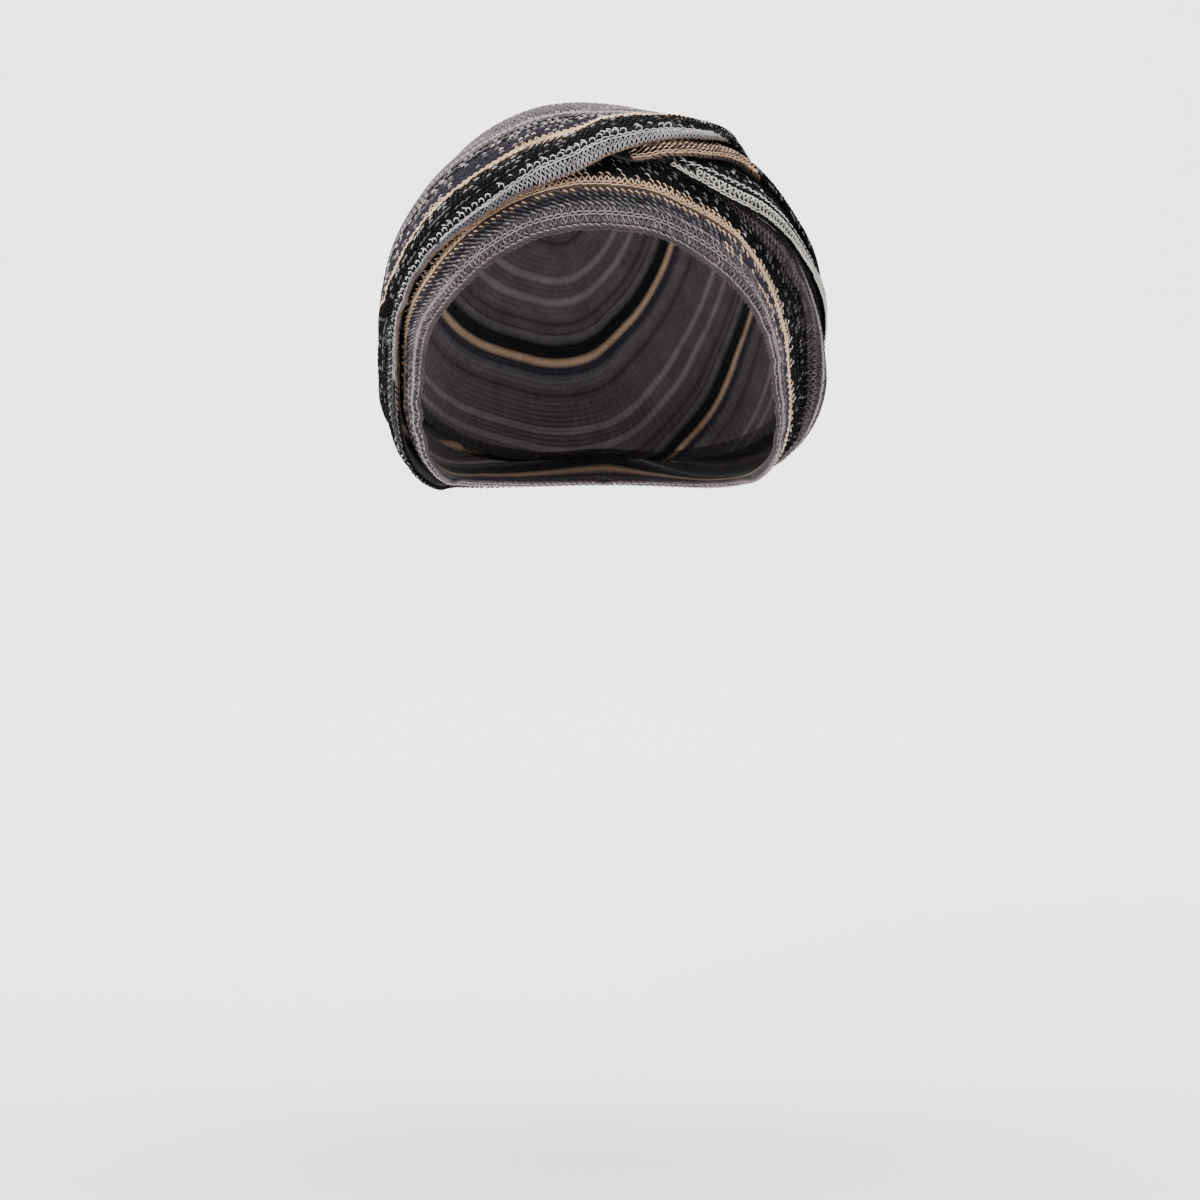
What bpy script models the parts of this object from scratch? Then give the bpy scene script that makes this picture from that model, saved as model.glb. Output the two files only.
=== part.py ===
"""A knitted turban headwrap in the form it has when worn: a dome of soft fabric over the crown,
a wide band round the brow and nape, and folded wraps that cross over the front.

The frame: the origin is where the top of the head bears on the inside of the crown, +Z is up, the
face looks along -Y and +X is on the right of someone who faces the wearer. Units are metres.

Every layer is a wall laid round one hood form. A place on it is a turn round the head (degrees,
0 at the brow, positive towards +X), a rise above the widest level (degrees) and a lift off the form.
"""

import math
from typing import NamedTuple

import bmesh
import bpy
import numpy as np
from mathutils import Vector
from mathutils.bvhtree import BVHTree

# The hood form: the inner face of the crown fabric, measured from the widest level of the hood.
HOOD_HALF_WIDTH = 0.092
HOOD_FRONT = 0.108
HOOD_BACK = 0.100
HOOD_RISE = 0.117
HOOD_DROP = 0.066
HOOD_SQUARENESS = 2.35
HOOD_SET_BACK = 0.012

# The fabric and how the layers lie on each other.
KNIT_WALL = 0.0026
LAYER_GAP = 0.0004
FOLD_ROLL = 0.0022
PUFF = 0.015
EDGE_ROUND = 0.0045
HEM_RADIUS = 0.0015

# Sections along and columns across each piece.
CROWN_SEGMENTS = 48
CROWN_RINGS = 13
BAND_SECTIONS = 64
WRAP_SECTIONS = 72
PLEAT_SECTIONS = 34
COLUMNS = 9
SMOOTHING_ROUNDS = 6
SAMPLING_ROUNDS = 2
HEM_ROUNDNESS = 1


class Dent(NamedTuple):
    """Where the hood lies closer to the head: its middle and half span in degrees, a share of PUFF."""

    turn: float
    rise: float
    half_span: float
    depth: float


class Rim(NamedTuple):
    """A point of the crown's rim, in degrees."""

    turn: float
    rise: float


class Section(NamedTuple):
    """A section across a wrap: its lower and upper edge in degrees, and shares of PUFF."""

    low_turn: float
    low_rise: float
    top_turn: float
    top_rise: float
    low_lift: float
    top_lift: float
    swell: float
    valley: float


DENTS = (
    Dent(80, 48, 62, 0.55),
    Dent(60, 5, 50, 0.15),
)

CROWN_RIM = (
    Rim(0, 50),
    Rim(28, 47),
    Rim(54, 36),
    Rim(76, 25),
    Rim(95, 6),
    Rim(108, -14),
    Rim(128, -32),
    Rim(155, -38),
    Rim(180, -38),
    Rim(-155, -38),
    Rim(-130, -32),
    Rim(-112, -14),
    Rim(-98, 4),
    Rim(-80, 22),
    Rim(-56, 38),
    Rim(-28, 49),
)

# The band starts at the brow, goes down the right side, round the nape and up the left side.
BAND = (
    Section(0, 35.5, 0, 59, 0.0, 0.0, 0.00, 0.0),
    Section(15, 34, 18, 58, 0.0, 0.0, 0.00, 0.0),
    Section(29, 28.5, 36, 53, -0.05, 0.0, 0.00, 0.1),
    Section(44, 19.5, 58, 43, -0.2, 0.0, 0.05, 0.2),
    Section(55, 13, 80, 31, -0.5, 0.0, 0.10, 0.3),
    Section(67, 5, 101, 20, -0.8, 0.0, 0.35, 0.4),
    Section(73, -1, 114, 8, -0.95, 0.0, 0.75, 0.4),
    Section(77, -13, 122, -7, -0.95, 0.1, 1.05, 0.3),
    Section(82, -26, 131, -21, -0.7, 0.1, 1.35, 0.2),
    Section(92, -41, 144, -33, -0.2, 0.1, 1.40, 0.0),
    Section(120, -50, 154, -42, 0.0, 0.0, 0.40, 0.0),
    Section(150, -53, 168, -43, 0.0, 0.0, 0.00, 0.0),
    Section(180, -54, 180, -43, 0.0, 0.0, 0.00, 0.0),
    Section(-150, -53, -162, -43, 0.0, 0.0, 0.00, 0.0),
    Section(-120, -49, -140, -41, 0.0, 0.0, 0.00, 0.0),
    Section(-90, -42, -120, -31, 0.0, 0.1, 0.00, 0.0),
    Section(-82, -25, -110, -14, -0.5, 0.1, 0.00, 0.0),
    Section(-78, -12, -106, -4, -0.65, 0.1, 0.00, 0.0),
    Section(-74, 1, -100, 7, -0.75, 0.0, 0.00, 0.0),
    Section(-64, 9, -88, 18, -0.6, 0.0, 0.00, 0.0),
    Section(-50, 16, -70, 32, -0.15, 0.0, 0.00, 0.0),
    Section(-38, 24, -54, 42, -0.05, 0.0, 0.00, 0.0),
    Section(-24, 31.5, -34, 52, 0.0, 0.0, 0.00, 0.0),
    Section(-10, 35, -15, 58, 0.0, 0.0, 0.00, 0.0),
)

# The pleats start tucked in at the crossing, where they are narrow, and end under the left wrap.
RIGHT_PLEAT = (
    Section(8, 53, 8, 58, 0.0, 0.0, 0.0, 0.0),
    Section(20, 49, 26, 58, 0.0, 0.0, 0.0, 0.0),
    Section(30, 43.5, 42, 56, 0.0, 0.0, 0.0, 0.0),
    Section(41, 38, 58, 53, 0.0, 0.0, 0.0, 0.0),
    Section(52, 34.5, 74, 47, 0.0, 0.0, 0.0, 0.0),
    Section(62, 31, 88, 40, 0.0, 0.0, 0.0, 0.0),
    Section(77, 24, 102, 32, 0.0, 0.0, 0.0, 0.0),
    Section(94, 16, 115, 22, 0.0, 0.0, 0.0, 0.0),
    Section(108, 6, 127, 10, 0.0, 0.0, 0.0, 0.0),
    Section(119, -7, 137, -3, 0.0, 0.0, 0.0, 0.0),
    Section(128, -20, 146, -16, 0.0, 0.0, 0.0, 0.0),
    Section(139, -33, 155, -28, 0.0, 0.0, 0.0, 0.0),
    Section(157, -43, 166, -37, 0.0, 0.0, 0.0, 0.0),
)

CENTRE_PLEAT = (
    Section(0, 50.5, 0, 54, 0.0, 0.0, 0.0, 0.0),
    Section(11, 47.8, 13, 55, 0.1, 0.1, 0.0, 0.0),
    Section(22, 47, 28, 57, 0.1, 0.1, 0.0, 0.0),
    Section(37, 47, 47, 57, 0.1, 0.1, 0.0, 0.0),
    Section(52, 47, 66, 55, 0.1, 0.1, 0.0, 0.0),
    Section(66, 43.5, 82, 50, 0.1, 0.1, 0.0, 0.0),
    Section(80, 37, 96, 42, 0.0, 0.0, 0.0, 0.0),
    Section(94, 28, 108, 31, 0.0, 0.0, 0.0, 0.0),
    Section(108, 15, 118, 19, 0.0, 0.0, 0.0, 0.0),
)

# The top layer starts at the nape, rises on the left side and comes back to the nape on the right.
LEFT_WRAP = (
    Section(180, -50, 180, -38, 0.0, 0.0, 0.0, 0.0),
    Section(-150, -50, -162, -34, 0.0, 0.0, 0.0, 0.0),
    Section(-120, -47, -146, -26, 0.0, 0.1, 0.1, 0.0),
    Section(-98, -44, -130, -18, 0.3, 0.1, 0.4, 0.0),
    Section(-87, -35, -118, -8, 0.4, 0.2, 1.0, 0.0),
    Section(-83, -20, -110, 2, 0.0, 0.1, 0.6, 0.0),
    Section(-79, -5, -104, 11, -0.3, 0.0, 0.25, 0.0),
    Section(-73.5, 5, -97, 21, -0.3, 0.0, 0.1, 0.0),
    Section(-66, 13, -91, 30, -0.2, 0.0, 0.0, 0.0),
    Section(-57, 20.5, -82, 39, 0.0, 0.0, 0.0, 0.0),
    Section(-47, 27.3, -72, 47, 0.1, 0.0, 0.1, 0.0),
    Section(-34, 34.7, -60, 55, 0.1, 0.0, 0.1, 0.0),
    Section(-18, 42.2, -44, 63, 0.1, 0.0, 0.1, 0.0),
    Section(-2, 46.2, -20, 71, 0.1, 0.0, 0.1, 0.0),
    Section(16, 49.3, 20, 77, 0.1, 0.0, 0.0, 0.0),
    Section(38, 51, 60, 76, 0.1, 0.0, 0.0, 0.0),
    Section(55, 52, 85, 72, 0.1, 0.0, 0.0, 0.0),
    Section(70, 51.5, 100, 65, 0.1, 0.0, 0.0, 0.0),
    Section(85, 49, 112, 57, 0.0, 0.0, 0.0, 0.0),
    Section(100, 42, 125, 47, 0.0, 0.0, 0.0, 0.0),
    Section(115, 29, 138, 33, 0.0, 0.0, 0.0, 0.0),
    Section(128, 13, 149, 17, 0.0, 0.0, 0.0, 0.0),
    Section(139, -6, 158, -2, 0.0, 0.0, 0.0, 0.0),
    Section(149, -25, 166, -18, 0.0, 0.0, 0.0, 0.0),
    Section(163, -42, 173, -33, 0.0, 0.0, 0.0, 0.0),
)

# How a wall thins at its two edges and where its fold, its valley and its swell lie across it.
FOLD_EDGE_SHARE = 0.55
TUCKED_EDGE_SHARE = 0.45
ROLL_SPAN_IN_EDGES = 3
VALLEY_CENTRE = 0.42
VALLEY_HALF_SPAN = 0.16
SWELL_CENTRE = 0.72
SWELL_HALF_SPAN = 0.30
TUCK_RETURN = 0.72
STEEPEST = 0.55

# Colours and finish of the fabric, piece by piece: base colour and roughness.
FINISHES = {
    "crown": ((0.16, 0.14, 0.15), 0.92),
    "brow_band": ((0.13, 0.11, 0.13), 0.92),
    "brow_hem": ((0.30, 0.26, 0.28), 0.90),
    "right_pleat": ((0.28, 0.28, 0.22), 0.90),
    "centre_pleat": ((0.50, 0.34, 0.22), 0.90),
    "left_wrap": ((0.05, 0.05, 0.06), 0.94),
}

HOOD_CENTRE = np.array([0.0, HOOD_SET_BACK, -HOOD_RISE])
FAR_OUT = 4 * HOOD_RISE


def unit(vectors):
    return vectors / np.linalg.norm(vectors, axis=-1, keepdims=True)


def dot(first, second):
    return (first * second).sum(axis=-1, keepdims=True)


def heading(turn, rise):
    """The direction of a turn and a rise, on a hood that is scaled to a unit ball."""
    turn, rise = math.radians(turn), math.radians(rise)
    return np.array(
        [
            math.cos(rise) * math.sin(turn),
            -math.cos(rise) * math.cos(turn),
            math.sin(rise),
        ]
    )


def on_hood(headings, lift):
    """Points at a lift off the hood form, in the headings given."""
    half_sizes = np.stack(
        [
            np.full(headings.shape[:-1], HOOD_HALF_WIDTH),
            np.where(headings[..., 1] < 0, HOOD_FRONT, HOOD_BACK),
            np.where(headings[..., 2] > 0, HOOD_RISE, HOOD_DROP),
        ],
        axis=-1,
    )
    reach = (np.abs(headings) ** HOOD_SQUARENESS).sum(axis=-1) ** (-1 / HOOD_SQUARENESS)
    form = headings * half_sizes * reach[..., None]
    for dent in DENTS:
        apart = np.arccos(np.clip(headings @ heading(dent.turn, dent.rise), -1, 1))
        lift = lift - dent.depth * PUFF * bump(apart, 0, math.radians(dent.half_span))
    return HOOD_CENTRE + form + unit(form) * np.asarray(lift)[..., None]


def smooth_step(share):
    share = np.clip(share, 0, 1)
    return share * share * (3 - 2 * share)


def bump(across, centre, half_span):
    """A soft hill of height 1 at its centre and 0 past its half span."""
    return smooth_step(1 - np.abs(across - centre) / half_span)


def along(rows, count, closed):
    """Rows of numbers read at even steps along a smooth curve through the rows given."""
    rows = np.asarray(rows, float)
    last = len(rows) if closed else len(rows) - 1
    read = []
    for step in range(count):
        place = last * step / (count if closed else count - 1)
        index = min(int(place), last - 1)
        share = place - index
        around = [index + offset for offset in (-1, 0, 1, 2)]
        if closed:
            before, start, end, after = (rows[i % len(rows)] for i in around)
        else:
            before, start, end, after = (rows[min(max(i, 0), last)] for i in around)
        read.append(
            start
            + 0.5 * share * (end - before)
            + share**2 * (before - 2.5 * start + 2 * end - 0.5 * after)
            + share**3 * (1.5 * (start - end) + 0.5 * (after - before))
        )
    return np.array(read)


def between(low, top, across):
    """Headings on the arcs from the low to the top headings, at each share across."""
    angle = np.arccos(np.clip(dot(low, top), -1, 1))
    shares = across[None, :]
    from_low = np.sin((1 - shares) * angle) / np.sin(angle)
    from_top = np.sin(shares * angle) / np.sin(angle)
    return unit(from_low[..., None] * low[:, None] + from_top[..., None] * top[:, None])


def trees_of(pieces):
    graph = bpy.context.evaluated_depsgraph_get()
    return [BVHTree.FromObject(piece, graph) for piece in pieces]


def covered_lift(points, trees):
    """How far the outermost surface of the pieces below stands out over each point."""
    rays = unit(points - HOOD_CENTRE)
    lifts = np.full(points.shape[:-1], -FAR_OUT)
    for place in np.ndindex(lifts.shape):
        start = Vector(HOOD_CENTRE + rays[place] * FAR_OUT)
        reach = np.linalg.norm(points[place] - HOOD_CENTRE)
        for tree in trees:
            hit = tree.ray_cast(start, Vector(-rays[place]), FAR_OUT)[0]
            if hit is not None:
                outermost = np.linalg.norm(np.array(hit) - HOOD_CENTRE)
                lifts[place] = max(lifts[place], outermost - reach)
    return lifts


def highest_round(lifts, closed):
    """For each point of the coarse grid, the highest of the fine samples round it."""
    reach = 2**SAMPLING_ROUNDS
    padded = np.pad(lifts, ((reach, reach), (0, 0)), mode="wrap" if closed else "edge")
    padded = np.pad(padded, ((0, 0), (reach, reach)), mode="edge")
    rows, columns = lifts.shape
    highest = np.full(lifts.shape, -FAR_OUT)
    for row, column in np.ndindex(2 * reach + 1, 2 * reach + 1):
        shifted = padded[row : row + rows, column : column + columns]
        highest = np.maximum(highest, shifted)
    return highest[::reach, ::reach]


def twice_as_fine(points, closed):
    """The same grid of points with one more halfway between each two, both ways."""
    following = np.roll(points, -1, axis=0)
    rows = np.stack([points, (points + following) / 2], axis=1)
    rows = rows.reshape(-1, *points.shape[1:])
    if not closed:
        rows = rows[:-1]
    finer = np.empty((len(rows), 2 * rows.shape[1] - 1, 3))
    finer[:, ::2] = rows
    finer[:, 1::2] = (rows[:, 1:] + rows[:, :-1]) / 2
    return finer


def relaxed(lifts, least, closed):
    """Lifts evened out with their neighbours, but never under the least lift."""
    for _ in range(SMOOTHING_ROUNDS):
        mode = "wrap" if closed else "edge"
        padded = np.pad(lifts, ((1, 1), (0, 0)), mode=mode)
        padded = np.pad(padded, ((0, 0), (1, 1)), mode="edge")
        even = (
            padded[:-2, 1:-1] + padded[2:, 1:-1] + padded[1:-1, :-2] + padded[1:-1, 2:]
        ) / 4
        lifts = np.maximum(0.5 * lifts + 0.5 * even, least)
    return lifts


def columns_across(width):
    """Shares across a wrap: close together at both rounded edges and even between them."""
    edge = min(EDGE_ROUND / width, 1 / COLUMNS)
    inner = np.linspace(edge, 1 - edge, COLUMNS - 2)
    return np.concatenate([[0.0], inner, [1.0]])


def steps_along(points, closed):
    """The step along the wrap at each of its points."""
    if not closed:
        return np.gradient(points, axis=0)
    return (np.roll(points, -1, axis=0) - np.roll(points, 1, axis=0)) / 2


def wall_rings(sections, count, closed, pieces_below):
    """Rings of points round the sections of a wrap: its outer face, then its inner face."""
    low = unit(along([heading(s.low_turn, s.low_rise) for s in sections], count, closed))
    top = unit(along([heading(s.top_turn, s.top_rise) for s in sections], count, closed))
    shape = along([s[4:] for s in sections], count, closed) * PUFF
    low_lift, top_lift, swell, valley = (shape[:, [column]] for column in range(4))

    span = on_hood(top, np.zeros(count)) - on_hood(low, np.zeros(count))
    across = columns_across(np.linalg.norm(span, axis=1).mean())
    headings = between(low, top, across)

    drawn_in = 1 - smooth_step(across / TUCK_RETURN)
    wanted = top_lift + (low_lift - top_lift) * drawn_in
    wanted = wanted + swell * bump(across, SWELL_CENTRE, SWELL_HALF_SPAN)
    wanted = wanted - valley * bump(across, VALLEY_CENTRE, VALLEY_HALF_SPAN)

    fine = on_hood(headings, np.zeros(headings.shape[:-1]))
    for _ in range(SAMPLING_ROUNDS):
        fine = twice_as_fine(fine, closed)
    below = covered_lift(fine, trees_of(pieces_below))
    least = highest_round(below, closed) + LAYER_GAP
    inner = relaxed(np.maximum(wanted, least), least, closed)

    surface = on_hood(headings, inner)
    along_step = steps_along(surface, closed)
    normals = unit(np.cross(along_step, np.gradient(surface, axis=1)))
    facing = np.abs(dot(normals, unit(surface - HOOD_CENTRE)))[..., 0]
    wall = KNIT_WALL / np.maximum(facing, STEEPEST)
    edges = np.ones(COLUMNS)
    edges[0], edges[-1] = FOLD_EDGE_SHARE, TUCKED_EDGE_SHARE
    roll = FOLD_ROLL * bump(across, across[1], ROLL_SPAN_IN_EDGES * across[1])
    outer = inner + wall * edges + roll
    return np.concatenate([on_hood(headings, outer), surface[:, ::-1]], axis=1)


def new_piece(name, mesh, collection):
    piece = bpy.data.objects.new(name, mesh)
    collection.objects.link(piece)
    colour, roughness = FINISHES[name]
    material = bpy.data.materials.new(name + "_yarn")
    material.use_nodes = True
    surface = material.node_tree.nodes["Principled BSDF"]
    surface.inputs["Base Color"].default_value = (*colour, 1)
    surface.inputs["Roughness"].default_value = roughness
    surface.inputs["Metallic"].default_value = 0
    piece.data.materials.append(material)
    return piece


def loft(name, rings, closed, collection):
    """A closed wall through rings of points, capped at both ends unless it closes on itself."""
    cage = bmesh.new()
    loops = [[cage.verts.new(point) for point in ring] for ring in rings]
    pairs = list(zip(loops, loops[1:]))
    if closed:
        pairs.append((loops[-1], loops[0]))
    for loop, following in pairs:
        for here in range(len(loop)):
            there = (here + 1) % len(loop)
            cage.faces.new((loop[here], loop[there], following[there], following[here]))
    if not closed:
        for loop in (loops[0], loops[-1]):
            half = len(loop) // 2
            for here in range(half - 1):
                corners = (loop[here], loop[here + 1], loop[-2 - here], loop[-1 - here])
                cage.faces.new(corners)
    bmesh.ops.recalc_face_normals(cage, faces=cage.faces)
    mesh = bpy.data.meshes.new(name)
    cage.to_mesh(mesh)
    cage.free()
    mesh.shade_smooth()
    return new_piece(name, mesh, collection)


def add_crown(collection):
    """The dome: the upper half of a ball, stretched from the top of the hood down to the rim."""
    cage = bmesh.new()
    bmesh.ops.create_uvsphere(
        cage, u_segments=CROWN_SEGMENTS, v_segments=2 * CROWN_RINGS, radius=1
    )
    ring_height = math.sin(math.pi / 2 / CROWN_RINGS)
    under = [vert for vert in cage.verts if vert.co.z < -ring_height / 2]
    bmesh.ops.delete(cage, geom=under, context="VERTS")
    rim_steps = 4 * CROWN_SEGMENTS
    rim = unit(along([heading(r.turn, r.rise) for r in CROWN_RIM], rim_steps, True))
    turns = np.unwrap(np.arctan2(rim[:, 0], -rim[:, 1]))
    turns, rim = np.append(turns, turns[0] + math.tau), np.append(rim, rim[:1], axis=0)
    pole = np.array([[0.0, 0.0, 1.0]])
    for vert in cage.verts:
        turn = math.atan2(vert.co.x, -vert.co.y) % math.tau
        down = math.acos(min(max(vert.co.z, -1), 1)) / (math.pi / 2)
        foot = np.array([np.interp(turn, turns, rim[:, axis]) for axis in range(3)])
        toward = between(pole, unit(foot)[None], np.array([down]))[0, 0]
        vert.co = Vector(on_hood(toward, 0.0))
    bmesh.ops.recalc_face_normals(cage, faces=cage.faces)
    mesh = bpy.data.meshes.new("crown")
    cage.to_mesh(mesh)
    cage.free()
    mesh.shade_smooth()
    crown = new_piece("crown", mesh, collection)
    wall = crown.modifiers.new("knit_wall", "SOLIDIFY")
    wall.thickness = KNIT_WALL
    wall.offset = 1
    return crown


def add_hem(rings, collection):
    """The rolled edging: a ring of cord just past the lower edge of the band."""
    edge = (rings[:, 0] + rings[:, -1]) / 2
    tangent = unit(steps_along(edge, True))
    outward = edge - (rings[:, 1] + rings[:, -2]) / 2
    outward = unit(outward - tangent * dot(outward, tangent))
    leaning = np.abs(dot(rings[:, 0] - edge, outward))
    route = edge + outward * (HEM_RADIUS + LAYER_GAP + leaning)
    curve = bpy.data.curves.new("brow_hem", "CURVE")
    curve.dimensions = "3D"
    curve.bevel_depth = HEM_RADIUS
    curve.bevel_resolution = HEM_ROUNDNESS
    spline = curve.splines.new("POLY")
    spline.points.add(len(route) - 1)
    for point, place in zip(spline.points, route):
        point.co = (*place, 1)
    spline.use_cyclic_u = True
    return new_piece("brow_hem", curve, collection)


def main():
    for old in list(bpy.data.objects):
        bpy.data.objects.remove(old)
    collection = bpy.data.collections.new("turban_headwrap")
    bpy.context.scene.collection.children.link(collection)

    crown = add_crown(collection)
    rings = wall_rings(BAND, BAND_SECTIONS, True, [crown])
    band = loft("brow_band", rings, True, collection)
    add_hem(rings, collection)

    rings = wall_rings(RIGHT_PLEAT, PLEAT_SECTIONS, False, [crown, band])
    right_pleat = loft("right_pleat", rings, False, collection)

    below = [crown, band, right_pleat]
    rings = wall_rings(CENTRE_PLEAT, PLEAT_SECTIONS, False, below)
    centre_pleat = loft("centre_pleat", rings, False, collection)

    below = [crown, band, right_pleat, centre_pleat]
    rings = wall_rings(LEFT_WRAP, WRAP_SECTIONS, True, below)
    loft("left_wrap", rings, True, collection)


main()
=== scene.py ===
"""The looks of the knitted turban headwrap: cloth, rows of stitches, hem, studio and camera.

Every layer is a strip of cloth laid out on one hood. A place on it is a turn round it
(degrees, 0 at the front, positive towards +X), a rise above the widest level (degrees) and the
distance across the strip from its lower edge. Units are metres, +Z is up.
"""

import logging
import math
from dataclasses import dataclass, field
from enum import Enum
from typing import Any, NamedTuple, Sequence

import bpy
import numpy as np
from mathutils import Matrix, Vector
from mathutils.bvhtree import BVHTree


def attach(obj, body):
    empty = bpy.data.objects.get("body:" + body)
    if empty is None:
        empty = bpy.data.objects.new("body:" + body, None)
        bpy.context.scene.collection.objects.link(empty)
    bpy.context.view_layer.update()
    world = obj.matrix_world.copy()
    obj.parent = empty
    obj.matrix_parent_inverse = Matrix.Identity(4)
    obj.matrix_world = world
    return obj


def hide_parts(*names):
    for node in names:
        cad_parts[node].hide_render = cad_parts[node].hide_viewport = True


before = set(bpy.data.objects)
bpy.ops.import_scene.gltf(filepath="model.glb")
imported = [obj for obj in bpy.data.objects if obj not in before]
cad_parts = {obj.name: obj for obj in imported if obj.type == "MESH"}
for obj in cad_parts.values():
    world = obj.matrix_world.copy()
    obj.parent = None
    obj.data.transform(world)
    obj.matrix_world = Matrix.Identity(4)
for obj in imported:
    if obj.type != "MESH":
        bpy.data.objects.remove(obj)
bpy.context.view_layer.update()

LOG = logging.getLogger("turban_headwrap")
Array = np.ndarray
Colour = tuple[float, float, float]

# The hood that the layers are laid out on.
HOOD_HALF_WIDTH = 0.092
HOOD_FRONT = 0.108
HOOD_BACK = 0.100
HOOD_RISE = 0.117
HOOD_DROP = 0.066
HOOD_SET_BACK = 0.012
HOOD_CENTRE = (0.0, HOOD_SET_BACK, -HOOD_RISE)
FAR_OUT = 4 * HOOD_RISE

# The crochet: how far apart rows and stitches are, and how thick its yarn is.
ROW_PITCH = 0.0026
STITCH_PITCH = 0.0031
YARN_RADIUS = 0.00044
RELIEF = 0.0010
STRAND_DEPTH = 0.0006
YARN_SIDES = 3
MOST_TRIANGLES = 165_000
WIDEST_ROW = 1.25
SWAY = 0.035

# The cloth under the stitches.
CLOTH_DEPTH = 0.0011
STATIONS = 300
MAP_FOLDS = 3
COLUMNS = 25
ROLL_COLUMNS = 8
THINNEST = 0.0015
THICKEST = 0.0046
ROLL_BULGE = 0.0016
EVENING_ROUNDS = 3
EVENING_SHARE = 0.5
HIDDEN_MARGIN = 4
BAND_MARGIN = 8
COVER_CLEARANCE = 0.002
END_TAPER = 0.72
# Shares by which the cloth's stripes are darkened as painted shade: the outer face between the
# stitches, and the inner face.
OUTER_SHADE = 0.16
INNER_SHADE = 0.55
LEAST_AREA_SHARE = 0.31

# The crown's own rows: how many go round, and how its start is eased along the rim.
CROWN_ROUNDS = 46
CROWN_EASE = 40
CROWN_EASE_WIDTHS = 2.5

# Margins on the maps, as shares of a cell, and where a leg's two ends lie in its cell.
LEG_MARGIN = 0.03
FOLD_MARGIN = 0.01
CLOTH_MARGIN = 0.02
END_PLACES = ((0.92, 0.1), (0.92, 0.5))
END_SPAN = 0.04

# How the photograph was taken, in its own pixels.
PHOTO_PIXELS = 1200
FOCAL_PIXELS = 5393
HOOD_PIXEL = (604, 370)
CAMERA_DISTANCE = 2.4
CAMERA_RISE = 5.0
SENSOR_MM = 36.0

# The finishes: the most colours that a ramp is given, and how rough the clouds of noise are.
MOST_STOPS = 31
NOISE_ROUGHNESS = 0.55

# The studio's floor, and where the random draws start.
FLOOR_LEVEL = -0.46
SEED = 7


class Section(NamedTuple):
    """A section across a strip: its lower and its upper edge, in degrees."""

    low_turn: float
    low_rise: float
    top_turn: float
    top_rise: float


class Rim(NamedTuple):
    """A point of the crown's rim, in degrees."""

    turn: float
    rise: float


class Marks(NamedTuple):
    """Where the marked rows of a strip lie at a turn, in row pitches above its lower edge."""

    turn: float
    rows: tuple[float, ...]


class Leg(NamedTuple):
    """A leg of yarn, bead by bead: in stitches along, rows across and shares of the relief."""

    alongs: tuple[float, ...]
    acrosses: tuple[float, ...]
    heights: tuple[float, ...]


class Lamp(NamedTuple):
    """A square soft light: where it hangs, what it faces, its side and its power."""

    name: str
    place: tuple[float, float, float]
    aim: tuple[float, float, float]
    size: float
    power: float


BAND_SECTIONS = (
    Section(0, 35.5, 0, 59),
    Section(15, 34, 18, 58),
    Section(29, 28.5, 36, 53),
    Section(44, 19.5, 58, 43),
    Section(55, 13, 80, 31),
    Section(67, 5, 101, 20),
    Section(73, -1, 114, 8),
    Section(77, -13, 122, -7),
    Section(82, -26, 131, -21),
    Section(92, -41, 144, -33),
    Section(120, -50, 154, -42),
    Section(150, -53, 168, -43),
    Section(180, -54, 180, -43),
    Section(-150, -53, -162, -43),
    Section(-120, -49, -140, -41),
    Section(-90, -42, -120, -31),
    Section(-82, -25, -110, -14),
    Section(-78, -12, -106, -4),
    Section(-74, 1, -100, 7),
    Section(-64, 9, -88, 18),
    Section(-50, 16, -70, 32),
    Section(-38, 24, -54, 42),
    Section(-24, 31.5, -34, 52),
    Section(-10, 35, -15, 58),
)

RIGHT_PLEAT_SECTIONS = (
    Section(8, 53, 8, 58),
    Section(20, 49, 26, 58),
    Section(30, 43.5, 42, 56),
    Section(41, 38, 58, 53),
    Section(52, 34.5, 74, 47),
    Section(62, 31, 88, 40),
    Section(77, 24, 102, 32),
    Section(94, 16, 115, 22),
    Section(108, 6, 127, 10),
    Section(119, -7, 137, -3),
    Section(128, -20, 146, -16),
    Section(139, -33, 155, -28),
    Section(157, -43, 166, -37),
)

CENTRE_PLEAT_SECTIONS = (
    Section(0, 50.5, 0, 54),
    Section(11, 47.8, 13, 55),
    Section(22, 47, 28, 57),
    Section(37, 47, 47, 57),
    Section(52, 47, 66, 55),
    Section(66, 43.5, 82, 50),
    Section(80, 37, 96, 42),
    Section(94, 28, 108, 31),
    Section(108, 15, 118, 19),
)

LEFT_WRAP_SECTIONS = (
    Section(180, -50, 180, -38),
    Section(-150, -50, -162, -34),
    Section(-120, -47, -146, -26),
    Section(-98, -44, -130, -18),
    Section(-87, -35, -118, -8),
    Section(-83, -20, -110, 2),
    Section(-79, -5, -104, 11),
    Section(-73.5, 5, -97, 21),
    Section(-66, 13, -91, 30),
    Section(-57, 20.5, -82, 39),
    Section(-47, 27.3, -72, 47),
    Section(-34, 34.7, -60, 55),
    Section(-18, 42.2, -44, 63),
    Section(-2, 46.2, -20, 71),
    Section(16, 49.3, 20, 77),
    Section(38, 51, 60, 76),
    Section(55, 52, 85, 72),
    Section(70, 51.5, 100, 65),
    Section(85, 49, 112, 57),
    Section(100, 42, 125, 47),
    Section(115, 29, 138, 33),
    Section(128, 13, 149, 17),
    Section(139, -6, 158, -2),
    Section(149, -25, 166, -18),
    Section(163, -42, 173, -33),
)

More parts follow.
